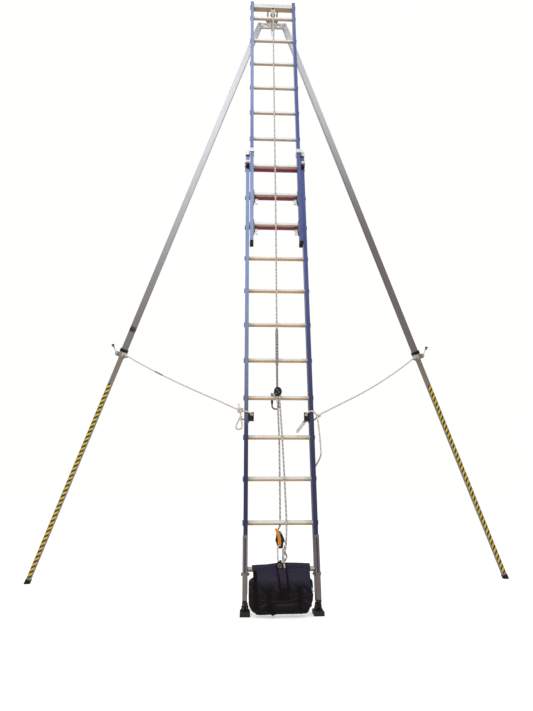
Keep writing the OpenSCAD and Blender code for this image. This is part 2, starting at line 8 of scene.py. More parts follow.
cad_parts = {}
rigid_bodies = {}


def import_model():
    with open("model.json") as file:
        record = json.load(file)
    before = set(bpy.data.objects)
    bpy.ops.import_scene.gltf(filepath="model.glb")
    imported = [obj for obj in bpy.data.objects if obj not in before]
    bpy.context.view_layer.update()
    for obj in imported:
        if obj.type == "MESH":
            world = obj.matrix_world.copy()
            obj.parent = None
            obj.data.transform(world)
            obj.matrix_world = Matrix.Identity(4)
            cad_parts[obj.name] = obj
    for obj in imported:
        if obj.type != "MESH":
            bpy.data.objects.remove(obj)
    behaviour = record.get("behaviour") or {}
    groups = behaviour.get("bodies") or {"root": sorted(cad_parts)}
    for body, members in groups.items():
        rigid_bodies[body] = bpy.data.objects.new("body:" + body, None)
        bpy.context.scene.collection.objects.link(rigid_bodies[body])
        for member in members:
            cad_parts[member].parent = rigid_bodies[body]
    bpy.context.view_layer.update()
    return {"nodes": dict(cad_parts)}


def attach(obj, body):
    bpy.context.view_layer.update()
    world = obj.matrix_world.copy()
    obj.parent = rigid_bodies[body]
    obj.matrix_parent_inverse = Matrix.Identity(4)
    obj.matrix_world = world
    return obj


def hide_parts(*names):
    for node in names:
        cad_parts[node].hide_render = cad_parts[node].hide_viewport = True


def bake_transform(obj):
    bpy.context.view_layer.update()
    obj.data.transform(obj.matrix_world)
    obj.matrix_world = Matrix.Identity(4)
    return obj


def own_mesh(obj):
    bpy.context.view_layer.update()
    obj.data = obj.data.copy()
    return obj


for o in list(bpy.data.objects):
    bpy.data.objects.remove(o, do_unlink=True)
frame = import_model()
scene = bpy.context.scene
nodes = frame["nodes"]
scene.view_settings.view_transform = "Standard"

# --- frames, as in the part's source (millimetres in, metres out) ------------
LEAN = math.radians(5.0)
LAD_Y = -0.52632
S5, C5 = math.sin(LEAN), math.cos(LEAN)


def lw(x, y, z):
    """A point along the ladder: x right, y back, z up the ladder."""
    return Vector((x / 1000, LAD_Y + (y * C5 + z * S5) / 1000, (-y * S5 + z * C5) / 1000))


PIN = lw(0, 73.4, 4690.7)
FOOT_Y = LAD_Y + 1.130
BETA = math.atan2(FOOT_Y - PIN.y, PIN.z)
GAMMA = math.atan2(1.850 - 0.108, math.hypot(FOOT_Y - PIN.y, PIN.z) - 0.052)
R_LAD = Matrix.Rotation(-LEAN, 3, "X")
R_BETA = Matrix.Rotation(BETA, 3, "X")
R_GAM = Matrix.Rotation(-GAMMA, 3, "Y")
R_LEG = R_BETA @ R_GAM
LEG_O = PIN + R_BETA @ Vector((0.108, 0, -0.052))


def lg(s, x, y, z):
    """A point on a leg: x outboard, y rear, z up the leg from its pivot."""
    p = LEG_O + R_LEG @ (Vector((x, y, z)) / 1000)
    p.x *= s
    return p


# --- camera ------------------------------------------------------------------
cam_data = bpy.data.cameras.new("camera")
cam = bpy.data.objects.new("camera", cam_data)
scene.collection.objects.link(cam)
cam_data.sensor_width = 36.0
cam_data.lens = 518.53 / 711.0 * 36.0
cam_data.clip_end = 200
yaw, pitch, roll = 0.0450, 0.2546, -0.0034
fwd = Vector((math.sin(yaw) * math.cos(pitch), math.cos(yaw) * math.cos(pitch), math.sin(pitch)))
right = Vector((math.cos(yaw), -math.sin(yaw), 0.0))
up = right.cross(fwd)
r2 = right * math.cos(roll) + up * math.sin(roll)
u2 = -right * math.sin(roll) + up * math.cos(roll)
rot = Matrix((r2, u2, -fwd)).transposed()
cam.matrix_world = Matrix.Translation((-0.2237, -3.1763 + LAD_Y, 0.6775)) @ rot.to_4x4()
scene.camera = cam


# --- mesh helpers --------------------------------------------------------------
def mesh_object(name, verts, faces, mats, smooth=True, uv=None, index=None):
    me = bpy.data.meshes.new(name)
    me.from_pydata([tuple(v) for v in verts], [], faces)
    for m in mats:
        me.materials.append(m)
    me.polygons.foreach_set("use_smooth", [smooth] * len(me.polygons))
    if index is not None:
        me.polygons.foreach_set("material_index", index)
    if uv is not None:
        layer = me.uv_layers.new(name="UVMap")
        layer.data.foreach_set("uv", [c for f in uv for p in f for c in p])
    me.update()
    o = bpy.data.objects.new(name, me)
    scene.collection.objects.link(o)
    return o


def spline(pts, step=0.006):
    """A smooth line through points, with about step between its points."""
    P = [np.array(p, float) for p in pts]
    P = [2 * P[0] - P[1]] + P + [2 * P[-1] - P[-2]]
    out = []
    for i in range(1, len(P) - 2):
        p0, p1, p2, p3 = P[i - 1:i + 3]
        t = [0.0]
        for a, b in ((p0, p1), (p1, p2), (p2, p3)):
            t.append(t[-1] + max(np.linalg.norm(b - a), 1e-6) ** 0.5)
        n = max(2, int(np.linalg.norm(p2 - p1) / step))
        for k in range(n):
            u = t[1] + (t[2] - t[1]) * k / n
            a1 = (t[1] - u) / (t[1] - t[0]) * p0 + (u - t[0]) / (t[1] - t[0]) * p1
            a2 = (t[2] - u) / (t[2] - t[1]) * p1 + (u - t[1]) / (t[2] - t[1]) * p2
            a3 = (t[3] - u) / (t[3] - t[2]) * p2 + (u - t[2]) / (t[3] - t[2]) * p3
            b1 = (t[2] - u) / (t[2] - t[0]) * a1 + (u - t[0]) / (t[2] - t[0]) * a2
            b2 = (t[3] - u) / (t[3] - t[1]) * a2 + (u - t[1]) / (t[3] - t[1]) * a3
            out.append((t[2] - u) / (t[2] - t[1]) * b1 + (u - t[1]) / (t[2] - t[1]) * b2)
    out.append(P[-2])
    return out


def transport(pts, closed=False):
    """Tangents and two cross directions at each point of a line."""
    P = np.array([tuple(p) for p in pts], float)
    n = len(P)
    if closed:
        T = np.roll(P, -1, 0) - np.roll(P, 1, 0)
    else:
        T = np.gradient(P, axis=0)
    T /= np.linalg.norm(T, axis=1)[:, None]
    u = np.cross(T[0], [0.31, 0.42, 0.85])
    u /= np.linalg.norm(u)
    U = [u]
    for i in range(1, n):
        u = U[-1] - T[i] * (U[-1] @ T[i])
        U.append(u / np.linalg.norm(u))
    U = np.array(U)
    if closed:
        u = U[-1] - T[0] * (U[-1] @ T[0])
        u /= np.linalg.norm(u)
        ang = math.atan2(np.cross(u, U[0]) @ T[0], u @ U[0])
        for i in range(n):
            a = ang * i / n
            U[i] = U[i] * math.cos(a) + np.cross(T[i], U[i]) * math.sin(a)
    return P, T, U, np.cross(T, U)


def tube(name, pts, r, mat, sides=12, closed=False, radius=None, flat=1.0):
    """A rope along points, with UVs: u round it, v its length in metres."""
    P, T, U, V = transport(pts, closed)
    n = len(P)
    R = np.full(n, r) if radius is None else np.array(radius)
    ang = 2 * math.pi * np.arange(sides) / sides
    ca, sa = np.cos(ang), np.sin(ang)
    verts = [P[i] + R[i] * (ca[j] * U[i] + flat * sa[j] * V[i]) for i in range(n) for j in range(sides)]
    d = np.concatenate([[0], np.cumsum(np.linalg.norm(np.diff(P, axis=0), axis=1))])
    faces, uv = [], []
    span = n if closed else n - 1
    for i in range(span):
        k = (i + 1) % n
        va, vb = d[i], (d[i + 1] if i + 1 < n else d[-1] + np.linalg.norm(P[0] - P[-1]))
        for j in range(sides):
            q = (j + 1) % sides
            faces.append((i * sides + j, i * sides + q, k * sides + q, k * sides + j))
            uv.append(((j / sides, va), ((j + 1) / sides, va), ((j + 1) / sides, vb), (j / sides, vb)))
    if not closed:
        for i, sign in ((0, -1), (n - 1, 1)):
            base, vv = i * sides, d[i]
            ring = [base + j for j in range(sides)]
            for k in (0.55, 0.85):
                new = len(verts)
                c = P[i] + T[i] * sign * R[i] * 0.5 * k
                s = math.sqrt(1 - k * k)
                verts += [c + R[i] * s * (ca[j] * U[i] + flat * sa[j] * V[i]) for j in range(sides)]
                nxt = [new + j for j in range(sides)]
                for j in range(sides):
                    q = (j + 1) % sides
                    f = (ring[j], ring[q], nxt[q], nxt[j])
                    w = ((j / sides, vv), ((j + 1) / sides, vv), ((j + 1) / sides, vv + 0.002), (j / sides, vv + 0.002))
                    faces.append(f if sign > 0 else f[::-1])
                    uv.append(w if sign > 0 else w[::-1])
                ring = nxt
            faces.append(tuple(ring) if sign > 0 else tuple(ring[::-1]))
            uv.append([(0.5, vv)] * sides)
    return mesh_object(name, verts, faces, [mat], True, uv)


def ribbon(name, pts, across, thick, mat, rows=None):
    """A flat strap along points; across gives its half width as a vector at each point."""
    P = np.array([tuple(p) for p in pts], float)
    A = np.array([tuple(a) for a in across], float)
    T = np.gradient(P, axis=0)
    Nn = np.cross(A, T)
    Nn /= np.linalg.norm(Nn, axis=1)[:, None]
    h = thick / 2
    prof = [(-1, -0.6), (-0.96, -1), (-0.5, -1), (0, -1), (0.5, -1), (0.96, -1), (1, -0.6), (1, 0.6), (0.96, 1), (0.5, 1), (0, 1), (-0.5, 1), (-0.96, 1), (-1, 0.6)]
    m = len(prof)
    verts = [P[i] + A[i] * a + Nn[i] * b * h for i in range(len(P)) for a, b in prof]
    d = np.concatenate([[0], np.cumsum(np.linalg.norm(np.diff(P, axis=0), axis=1))])
    w = float(np.linalg.norm(A[0]))
    faces, uv = [], []
    for i in range(len(P) - 1):
        for j in range(m):
            q = (j + 1) % m
            faces.append((i * m + j, i * m + q, (i + 1) * m + q, (i + 1) * m + j))
            ua, ub = prof[j][0] * w, prof[q][0] * w
            uv.append(((ua, d[i]), (ub, d[i]), (ub, d[i + 1]), (ua, d[i + 1])))
    faces.append(tuple(range(m - 1, -1, -1)))
    faces.append(tuple((len(P) - 1) * m + j for j in range(m)))
    uv += [[(0, 0)] * m, [(0, 0)] * m]
    o = mesh_object(name, verts, faces, [mat], True, uv)
    bm = bmesh.new()
    bm.from_mesh(o.data)
    bmesh.ops.recalc_face_normals(bm, faces=bm.faces)
    bm.to_mesh(o.data)
    bm.free()
    return o


# --- material helpers ----------------------------------------------------------
class Mat:
    """A principled material with a few ways to drive its sockets."""

    def __init__(self, name, rough=0.5, metal=0.0, spec=0.5, color=(0.5, 0.5, 0.5), **more):
        self.m = bpy.data.materials.new(name)
        self.m.use_nodes = True
        self.nt = self.m.node_tree
        self.b = next(n for n in self.nt.nodes if n.type == "BSDF_PRINCIPLED")
        self.set("Base Color", (*color, 1))
        self.set("Roughness", rough)
        self.set("Metallic", metal)
        self.set("Specular IOR Level", spec)
        for k, v in more.items():
            self.set(k.replace("_", " "), v)
        self.m.diffuse_color = (*color, 1)

    def set(self, socket, value):
        self.b.inputs[socket].default_value = value

    def put(self, socket, source):
        self.nt.links.new(source, self.b.inputs[socket])

    def new(self, kind, **props):
        n = self.nt.nodes.new(kind)
        for k, v in props.items():
            setattr(n, k, v)
        return n

    def feed(self, socket, value):
        if isinstance(value, bpy.types.NodeSocket):
            self.nt.links.new(value, socket)
        else:
            socket.default_value = value

    def math(self, op, a, b=None, c=None, clamp=False):
        n = self.new("ShaderNodeMath", operation=op, use_clamp=clamp)
        for i, v in enumerate((a, b, c)):
            if v is not None:
                self.feed(n.inputs[i], v)
        return n.outputs[0]

    def vmul(self, v, by):
        n = self.new("ShaderNodeVectorMath", operation="MULTIPLY")
        self.feed(n.inputs[0], v)
        n.inputs[1].default_value = by
        return n.outputs[0]

    def xyz(self, v):
        n = self.new("ShaderNodeSeparateXYZ")
        self.feed(n.inputs[0], v)
        return n.outputs

    def mix(self, fac, a, b):
        n = self.new("ShaderNodeMix", data_type="RGBA")
        self.feed(n.inputs[0], fac)
        self.feed(n.inputs[6], a if isinstance(a, bpy.types.NodeSocket) else (*a, 1))
        self.feed(n.inputs[7], b if isinstance(b, bpy.types.NodeSocket) else (*b, 1))
        return n.outputs[2]

    def range(self, v, a, b, c=0.0, d=1.0, smooth=True):
        n = self.new("ShaderNodeMapRange", interpolation_type="SMOOTHSTEP" if smooth else "LINEAR")
        self.feed(n.inputs[0], v)
        for i, x in enumerate((a, b, c, d)):
            n.inputs[1 + i].default_value = x
        return n.outputs[0]

    def obj(self):
        return self.new("ShaderNodeTexCoord").outputs["Object"]

    def uv(self):
        return self.new("ShaderNodeUVMap", uv_map="UVMap").outputs[0]

    def local(self, R3, origin, s=1):
        """Coordinates in a turned frame; s is -1 for the mirrored side."""
        n = self.new("ShaderNodeMapping", vector_type="POINT")
        self.feed(n.inputs["Vector"], self.obj())
        inv = R3.transposed()
        n.inputs["Scale"].default_value = (s, 1, 1)
        n.inputs["Rotation"].default_value = inv.to_euler()
        n.inputs["Location"].default_value = -(inv @ Vector(origin))
        return n.outputs[0]

    def noise(self, v, scale, detail=3.0, rough=0.55):
        n = self.new("ShaderNodeTexNoise")
        self.feed(n.inputs["Vector"], v)
        n.inputs["Scale"].default_value = scale
        n.inputs["Detail"].default_value = detail
        n.inputs["Roughness"].default_value = rough
        return n.outputs[0]

    def bump(self, height, distance, strength=1.0):
        n = self.new("ShaderNodeBump")
        n.inputs["Strength"].default_value = strength
        n.inputs["Distance"].default_value = distance
        self.feed(n.inputs["Height"], height)
        self.put("Normal", n.outputs[0])


def ladder_coords(m):
    return m.local(R_LAD, (0, LAD_Y, 0))


def leg_coords(m, s):
    return m.local(R_LEG, LEG_O, s)


def frp(name, light, dark, low):
    """Pultruded glass-fibre: fibres along the length, scuffs, and painted shade that darkens it towards the bottom."""
    m = Mat(name, rough=0.22, spec=1.0, color=light, Specular_Tint=(0.66, 0.86, 1.0, 1), IOR=1.56)
    c = ladder_coords(m)
    streak = m.noise(m.vmul(c, (90, 90, 1.6)), 1.0, 4)
    fibre = m.noise(m.vmul(c, (900, 900, 9)), 1.0, 2)
    blot = m.noise(m.vmul(c, (14, 14, 5)), 1.0, 4, 0.65)
    col = m.mix(m.range(streak, 0.35, 0.68), dark, light)
    z = m.xyz(c)[2]
    # painted shade: the low colour darkens the stiles towards the bottom
    col = m.mix(m.range(z, 2.25, 1.0, 0.0, 0.9), col, low)
    scuff = m.range(blot, 0.68, 0.75, 0.0, 0.3)
    col = m.mix(scuff, col, (0.26, 0.28, 0.40))
    m.put("Base Color", col)
    gloss = m.math("ADD", m.range(blot, 0.3, 0.75, 0.11, 0.22), m.math("MULTIPLY", fibre, 0.05))
    nx = m.math("ABSOLUTE", m.xyz(m.new("ShaderNodeNewGeometry").outputs["Normal"])[0])
    side = m.math("MULTIPLY", m.range(nx, 0.6, 0.9), m.range(z, 1.15, 0.70))
    m.put("Roughness", m.math("ADD", gloss, m.math("MULTIPLY", side, 0.42)))
    m.bump(m.math("ADD", m.math("MULTIPLY", fibre, 0.5), streak), 0.0004, 0.35)
    return m.m


def rung(name, yc, top, under, turn=-0.0010, ridges=26):
    """Fluted rung: fine ridges round it with painted shade in the grooves, pale above, with a painted underside below
    (a warm floor reflection on the aluminium rungs, shade on the red ones), and darker towards the ends.
    """
    m = Mat(name, rough=0.42, metal=0.15, spec=0.5, color=top)
    c = ladder_coords(m)
    x, y, z = m.xyz(c)[:3]
    f = m.math("FRACT", m.math("DIVIDE", m.math("ADD", z, -0.240 + 0.127 + 2.54), 0.254))
    zz = m.math("MULTIPLY", m.math("SUBTRACT", f, 0.5), 0.254)
    yy = m.math("SUBTRACT", yc, y)
    ang = m.math("ARCTAN2", zz, yy)
    wave = m.math("SINE", m.math("MULTIPLY", ang, ridges))
    wear = m.noise(m.vmul(c, (16, 60, 60)), 1.0, 5, 0.6)
    fine = m.noise(m.vmul(c, (30, 700, 700)), 1.0, 2)
    col = m.mix(m.range(wear, 0.35, 0.72), top, tuple(0.93 * v for v in top))
    # painted underside: below the turn line the under colour stands in for reflected warm floor light and shade
    col = m.mix(m.range(zz, turn, turn - 0.0048), col, under)
    ends = m.range(m.math("ABSOLUTE", x), 0.135, 0.17, 0.0, 0.25)
    col = m.mix(ends, col, tuple(0.55 * v for v in under))
    # painted shade in the grooves between the ridges
    groove_shade = m.range(wave, -0.95, -0.35, 0.10, 0.0)
    col = m.mix(groove_shade, col, tuple(0.6 * v for v in under))
    m.put("Base Color", col)
    m.put("Roughness", m.range(wear, 0.3, 0.75, 0.34, 0.56))
    m.bump(m.math("ADD", m.math("MULTIPLY", wave, 0.5), fine), 0.0006, 0.5)
    return m.m


def cast(name, color, rough=0.42, metal=0.75, grain=900, dirt=(0.16, 0.13, 0.11), amount=0.5, painted_warm_underside=0.0, collar=0):
    """Cast or machined metal: grain, small dents and some dirt, with a painted warm floor reflection on its undersides.
    """
    m = Mat(name, rough=rough, metal=metal, spec=0.5, color=color)
    o = m.obj()
    g = m.noise(o, grain, 3)
    blot = m.noise(o, 55, 5, 0.6)
    col = m.mix(m.range(blot, 0.55, 0.78, 0.0, amount), color, dirt)
    col = m.mix(m.range(g, 0.4, 0.7, 0.0, 0.25), col, tuple(min(1, v * 1.25) for v in color))
    # painted reflection: undersides tinted tan as if lit by a warm floor
    if painted_warm_underside:
        nz = m.xyz(m.new("ShaderNodeNewGeometry").outputs["Normal"])[2]
        col = m.mix(m.range(nz, -0.1, -0.75, 0.0, painted_warm_underside), col, (0.55 * color[0], 0.36 * color[1], 0.19 * color[2]))
    if collar:
        z = m.xyz(leg_coords(m, collar))[2]
        on = m.math("MULTIPLY", m.range(z, -3.0852, -3.0842), m.range(z, -3.0585, -3.0595))
        col = m.mix(on, col, (0.010, 0.010, 0.012))
    m.put("Base Color", col)
    m.put("Roughness", m.range(blot, 0.3, 0.75, rough - 0.1, rough + 0.16))
    m.bump(m.math("ADD", g, m.math("MULTIPLY", blot, 1.5)), 0.00025, 0.5)
    return m.m


def extrusion(name, s, light, dark, low=None, metal=0.55, rough=0.38):
    """Drawn tube: fine die lines along the leg, handling marks, and, where a low colour is given, painted shade towards
    the foot.
    """
    m = Mat(name, rough=rough, metal=metal, spec=0.5, color=light)
    c = leg_coords(m, s)
    lines = m.noise(m.vmul(c, (700, 700, 1.2)), 1.0, 3)
    broad = m.noise(m.vmul(c, (60, 60, 0.9)), 1.0, 4)
    marks = m.noise(m.vmul(c, (120, 120, 14)), 1.0, 5, 0.65)
    col = m.mix(m.range(broad, 0.25, 0.75), dark, light)
    col = m.mix(m.range(lines, 0.3, 0.75, 0.0, 0.3), col, tuple(v * 0.85 for v in dark))
    col = m.mix(m.range(marks, 0.68, 0.78, 0.0, 0.4), col, tuple(v * 0.45 for v in dark))
    # painted shade: darker towards the foot of the leg
    if low is not None:
        col = m.mix(m.range(m.xyz(c)[2], low[3], low[4], 0.0, 1.0), col, low[:3])
    m.put("Base Color", col)
    m.put("Roughness", m.math("ADD", m.range(marks, 0.3, 0.75, rough - 0.03, rough + 0.10), m.math("MULTIPLY", lines, 0.06)))
    m.bump(lines, 0.0001, 0.2)
    return m.m


def rubber(name, color, dust, rough=0.78):
    """Moulded rubber with a fine grain and dust on what faces up."""
    m = Mat(name, rough=rough, spec=0.22, color=color)
    o = m.obj()
    g = m.noise(o, 1400, 2)
    blot = m.noise(o, 70, 5, 0.65)
    up_face = m.range(m.xyz(m.new("ShaderNodeNewGeometry").outputs["Normal"])[2], 0.1, 0.9, 0.15, 0.75)
    col = m.mix(m.math("MULTIPLY", m.range(blot, 0.4, 0.72), up_face), color, dust)
    m.put("Base Color", col)
    m.put("Roughness", m.range(blot, 0.3, 0.7, rough - 0.12, rough + 0.1))
    m.bump(m.math("ADD", g, m.math("MULTIPLY", blot, 2.0)), 0.0003, 0.5)
    return m.m


def coated(name, color, under, rough=0.4, worn=0.68, spec=0.5):
    """Coated metal, rubbed through in small patches."""
    m = Mat(name, rough=rough, spec=spec, color=color)
    o = m.obj()
    g = m.noise(o, 1100, 2)
    blot = m.noise(o, 130, 6, 0.7)
    w = m.range(blot, worn, worn + 0.05, 0.0, 0.8)
    m.put("Base Color", m.mix(w, m.mix(m.range(g, 0.35, 0.7, 0.0, 0.4), color, tuple(v * 1.5 + 0.004 for v in color)), under))
    m.put("Metallic", m.math("MULTIPLY", w, 0.8))
    m.put("Roughness", m.range(blot, 0.3, 0.8, rough + 0.12, rough - 0.1))
    m.bump(g, 0.0002, 0.4)
    return m.m


def braid(name, base, alt, fleck, flecks, n=10, pitch=0.048, soil=(0.35, 0.27, 0.18), soiling=0.35, painted_warm_underside=0.0, stripe=None):
    """Braided sheath: two families of strands over and under, a few of them coloured, with painted shade between the
    strands and a painted warm reflection on the undersides.
    """
    m = Mat(name, rough=0.86, spec=0.25, color=base, Sheen_Weight=0.25, Sheen_Roughness=0.5)
    u, v = m.xyz(m.uv())[:2]
    un = m.math("MULTIPLY", u, float(n))
    vn = m.math("MULTIPLY", v, n / pitch)
    a, b = m.math("ADD", un, vn), m.math("SUBTRACT", un, vn)
    fa, fb = m.math("FRACT", a), m.math("FRACT", b)
    ia, ib = m.math("FLOOR", a), m.math("FLOOR", b)
    par = m.math("FLOORED_MODULO", m.math("ADD", ia, ib), 2.0)
    npar = m.math("SUBTRACT", 1.0, par)
    ta, tb = m.math("FLOORED_MODULO", ia, float(n)), m.math("FLOORED_MODULO", ib, float(n))
    dark = None
    for fam, k in flecks:
        t = m.math("MULTIPLY", m.math("COMPARE", ta if fam == "a" else tb, float(k), 0.25), npar if fam == "a" else par)
        dark = t if dark is None else m.math("ADD", dark, t, clamp=True)
    prof = m.math("ADD", m.math("MULTIPLY", m.math("SINE", m.math("MULTIPLY", fa, math.pi)), npar),
                  m.math("MULTIPLY", m.math("SINE", m.math("MULTIPLY", fb, math.pi)), par))
    fuzz = m.noise(m.obj(), 1500, 3)
    blot = m.noise(m.obj(), 22, 5, 0.65)
    col = m.mix(m.range(fuzz, 0.3, 0.7), base, alt)
    col = m.mix(m.range(blot, 0.48, 0.75, 0.0, soiling), col, soil)
    col = m.mix(dark, col, fleck)
    if stripe:
        off = m.math("ABSOLUTE", m.math("SUBTRACT", m.math("FRACT", m.math("ADD", u, m.math("DIVIDE", v, stripe[0]))), 0.5))
        col = m.mix(m.range(off, stripe[1] / 2, stripe[1] / 2 - 0.07, 0.0, stripe[2]), col, fleck)
    # painted reflection: undersides tinted tan as if lit by a warm floor
    if painted_warm_underside:
        nz = m.xyz(m.new("ShaderNodeNewGeometry").outputs["Normal"])[2]
        col = m.mix(m.range(nz, 0.15, -0.65, 0.0, painted_warm_underside), col, (0.40, 0.27, 0.15))
    # painted shade in the crevices between strands
    col = m.mix(m.range(prof, 0.0, 0.5, 0.55, 0.0), col, tuple(v * 0.35 for v in alt))
    m.put("Base Color", col)
    m.bump(m.math("ADD", prof, m.math("MULTIPLY", fuzz, 0.4)), 0.0007, 0.8)
    return m.m


def webbing(name, color, alt, rib=0.0022):
    """Woven strap: ribs across and edges that catch the light."""
    m = Mat(name, rough=0.85, spec=0.10, color=color)
    u, v = m.xyz(m.uv())[:2]
    r = m.math("SINE", m.math("MULTIPLY", v, 2 * math.pi / rib))
    w = m.math("SINE", m.math("MULTIPLY", u, 2 * math.pi / (rib * 1.6)))
    h = m.math("MULTIPLY", m.math("ADD", r, 1.2), m.math("ADD", w, 1.2))
    blot = m.noise(m.obj(), 40, 5, 0.6)
    col = m.mix(m.range(h, 0.3, 3.2), color, alt)
    col = m.mix(m.range(blot, 0.55, 0.8, 0.0, 0.4), col, tuple(min(1, 2.2 * v + 0.003) for v in color))
    m.put("Base Color", col)
    m.bump(h, 0.0004, 0.7)
    return m.m


def cloth(name, color, alt, low=None, weave=0.0014):
    """Coated bag cloth: plain weave, dust in the folds, a painted bluish sky reflection on faces that look up, and,
    where a low colour is given, painted shade towards the bottom.
    """
    m = Mat(name, rough=0.84, spec=0.10, color=color)
    o = m.obj()
    x, y, z = m.xyz(o)[:3]
    a = m.math("SINE", m.math("MULTIPLY", m.math("ADD", x, m.math("MULTIPLY", y, 0.35)), 2 * math.pi / weave))
    b = m.math("SINE", m.math("MULTIPLY", m.math("ADD", z, m.math("MULTIPLY", y, 0.6)), 2 * math.pi / weave))
    h = m.math("MULTIPLY", a, b)
    blot = m.noise(o, 16, 5, 0.6)
    fine = m.noise(o, 240, 4, 0.6)
    col = m.mix(m.range(blot, 0.35, 0.7), color, alt)
    col = m.mix(m.range(h, -0.4, 1.0, 0.0, 0.35), col, tuple(v * 1.9 + 0.004 for v in alt))
    # painted shade: darker towards the bottom of the bag
    if low is not None:
        col = m.mix(m.range(z, 0.268, 0.165, 0.0, 0.9), col, low)
    # painted reflection: faces that look up are lightened bluish as if lit by the sky
    nz = m.xyz(m.new("ShaderNodeNewGeometry").outputs["Normal"])[2]
    col = m.mix(m.range(nz, 0.05, 0.55, 0.0, 0.8), col, (0.0320, 0.0285, 0.0510))
    col = m.mix(m.range(fine, 0.66, 0.80, 0.0, 0.2), col, (0.028, 0.023, 0.022))
    m.put("Base Color", col)
    m.put("Roughness", m.range(blot, 0.3, 0.75, 0.74, 0.9))
    m.bump(m.math("ADD", m.math("MULTIPLY", h, 0.3), m.math("MULTIPLY", fine, 1.2)), 0.0006, 0.5)
    return m.m


def tape(name, color, dark, rough=0.4):
    """Printed adhesive tape with scratches and grime."""
    m = Mat(name, rough=rough, spec=0.45, color=color)
    o = m.obj()
    scr = m.noise(m.vmul(o, (60, 60, 260)), 1.0, 5, 0.7)
    blot = m.noise(o, 38, 5, 0.6)
    col = m.mix(m.range(blot, 0.45, 0.75, 0.0, 0.4), color, dark)
    col = m.mix(m.range(scr, 0.68, 0.76, 0.0, 0.5), col, (0.22, 0.19, 0.15))
    m.put("Base Color", col)
    m.put("Roughness", m.range(blot, 0.3, 0.75, rough - 0.08, rough + 0.2))
    m.bump(scr, 0.0001, 0.4)
    return m.m


# --- materials -------------------------------------------------------------------
# the last colour of each is the painted shade that the stiles and bosses darken to towards the bottom
FRP = frp("frp_blue", (0.042, 0.046, 0.205), (0.033, 0.036, 0.165), (0.020, 0.014, 0.052))
FRP_FLY = frp("frp_blue_fly", (0.040, 0.045, 0.215), (0.031, 0.035, 0.175), (0.032, 0.032, 0.13))
BOSS = frp("boss_blue", (0.022, 0.026, 0.140), (0.016, 0.020, 0.110), (0.012, 0.010, 0.040))
# the under colours are painted: a warm floor reflection under the aluminium rungs, shade under the red ones
RUNG = rung("rung_aluminium", 0.0, (0.665, 0.66, 0.63), (0.44, 0.265, 0.115))
RUNG_FLY = rung("rung_aluminium_fly", -0.044, (0.66, 0.67, 0.68), (0.335, 0.225, 0.145), turn=-0.0058)
RED = rung("rung_red", 0.0, (0.26, 0.026, 0.036), (0.165, 0.016, 0.024))
BLACK = rubber("black_rubber", (0.008, 0.008, 0.009), (0.05, 0.045, 0.04))
FOOT = rubber("foot_rubber", (0.020, 0.017, 0.014), (0.10, 0.080, 0.060))
CAST = cast("cast_aluminium", (0.52, 0.52, 0.53), rough=0.46, metal=0.4, painted_warm_underside=0.9)
HOOK = cast("hook_casting", (0.13, 0.112, 0.098), rough=0.5, metal=0.3, amount=0.5, painted_warm_underside=0.5)
CATCH = cast("catch_zinc", (0.50, 0.51, 0.54), rough=0.36, metal=0.55, grain=1500, amount=0.3, painted_warm_underside=0.5)
SLEEVE = cast("leveller_aluminium", (0.190, 0.152, 0.134), rough=0.5, metal=0.3, amount=0.5, painted_warm_underside=0.4)
# the right leveller is a darker copy of the left one, painted shade
SLEEVE_R_SHADED = cast("leveller_aluminium_right_shaded", (0.150, 0.116, 0.100), rough=0.5, metal=0.3, amount=0.5, painted_warm_underside=0.4)
BOLT = cast("bolt_zinc", (0.25, 0.205, 0.155), rough=0.42, metal=0.5, grain=1500, amount=0.4, painted_warm_underside=0.5)
BUCKLE = rubber("buckle_black", (0.0045, 0.0036, 0.0032), (0.010, 0.008, 0.007))
CLAMP = {s: cast("clamp_aluminium_" + n, (0.26, 0.235, 0.21), rough=0.36, metal=0.7, amount=0.6, painted_warm_underside=0.6, collar=s) for n, s in (("left", -1), ("right", 1))}
STEEL = cast("zinc_steel", (0.42, 0.42, 0.43), rough=0.36, metal=0.7, grain=1500, amount=0.35, painted_warm_underside=0.6)
DARKMETAL = coated("black_metal", (0.0055, 0.0058, 0.0080), (0.16, 0.16, 0.17), 0.46, 0.72, 0.25)
GROMMET = cast("grommet_metal", (0.21, 0.180, 0.145), rough=0.42, metal=0.5, amount=0.4)
BRONZE = coated("bronze_alloy", (0.16, 0.105, 0.055), (0.45, 0.42, 0.38), 0.34)
SILVER = cast("polished_alloy", (0.74, 0.74, 0.75), rough=0.26, metal=0.6, grain=1800, amount=0.25, painted_warm_underside=0.7)
ORANGE = coated("orange_handle", (0.56, 0.185, 0.005), (0.30, 0.20, 0.1), 0.5, 0.74, 0.35)
BRASS = cast("sheave_brass", (0.52, 0.38, 0.14), rough=0.34, metal=0.9)
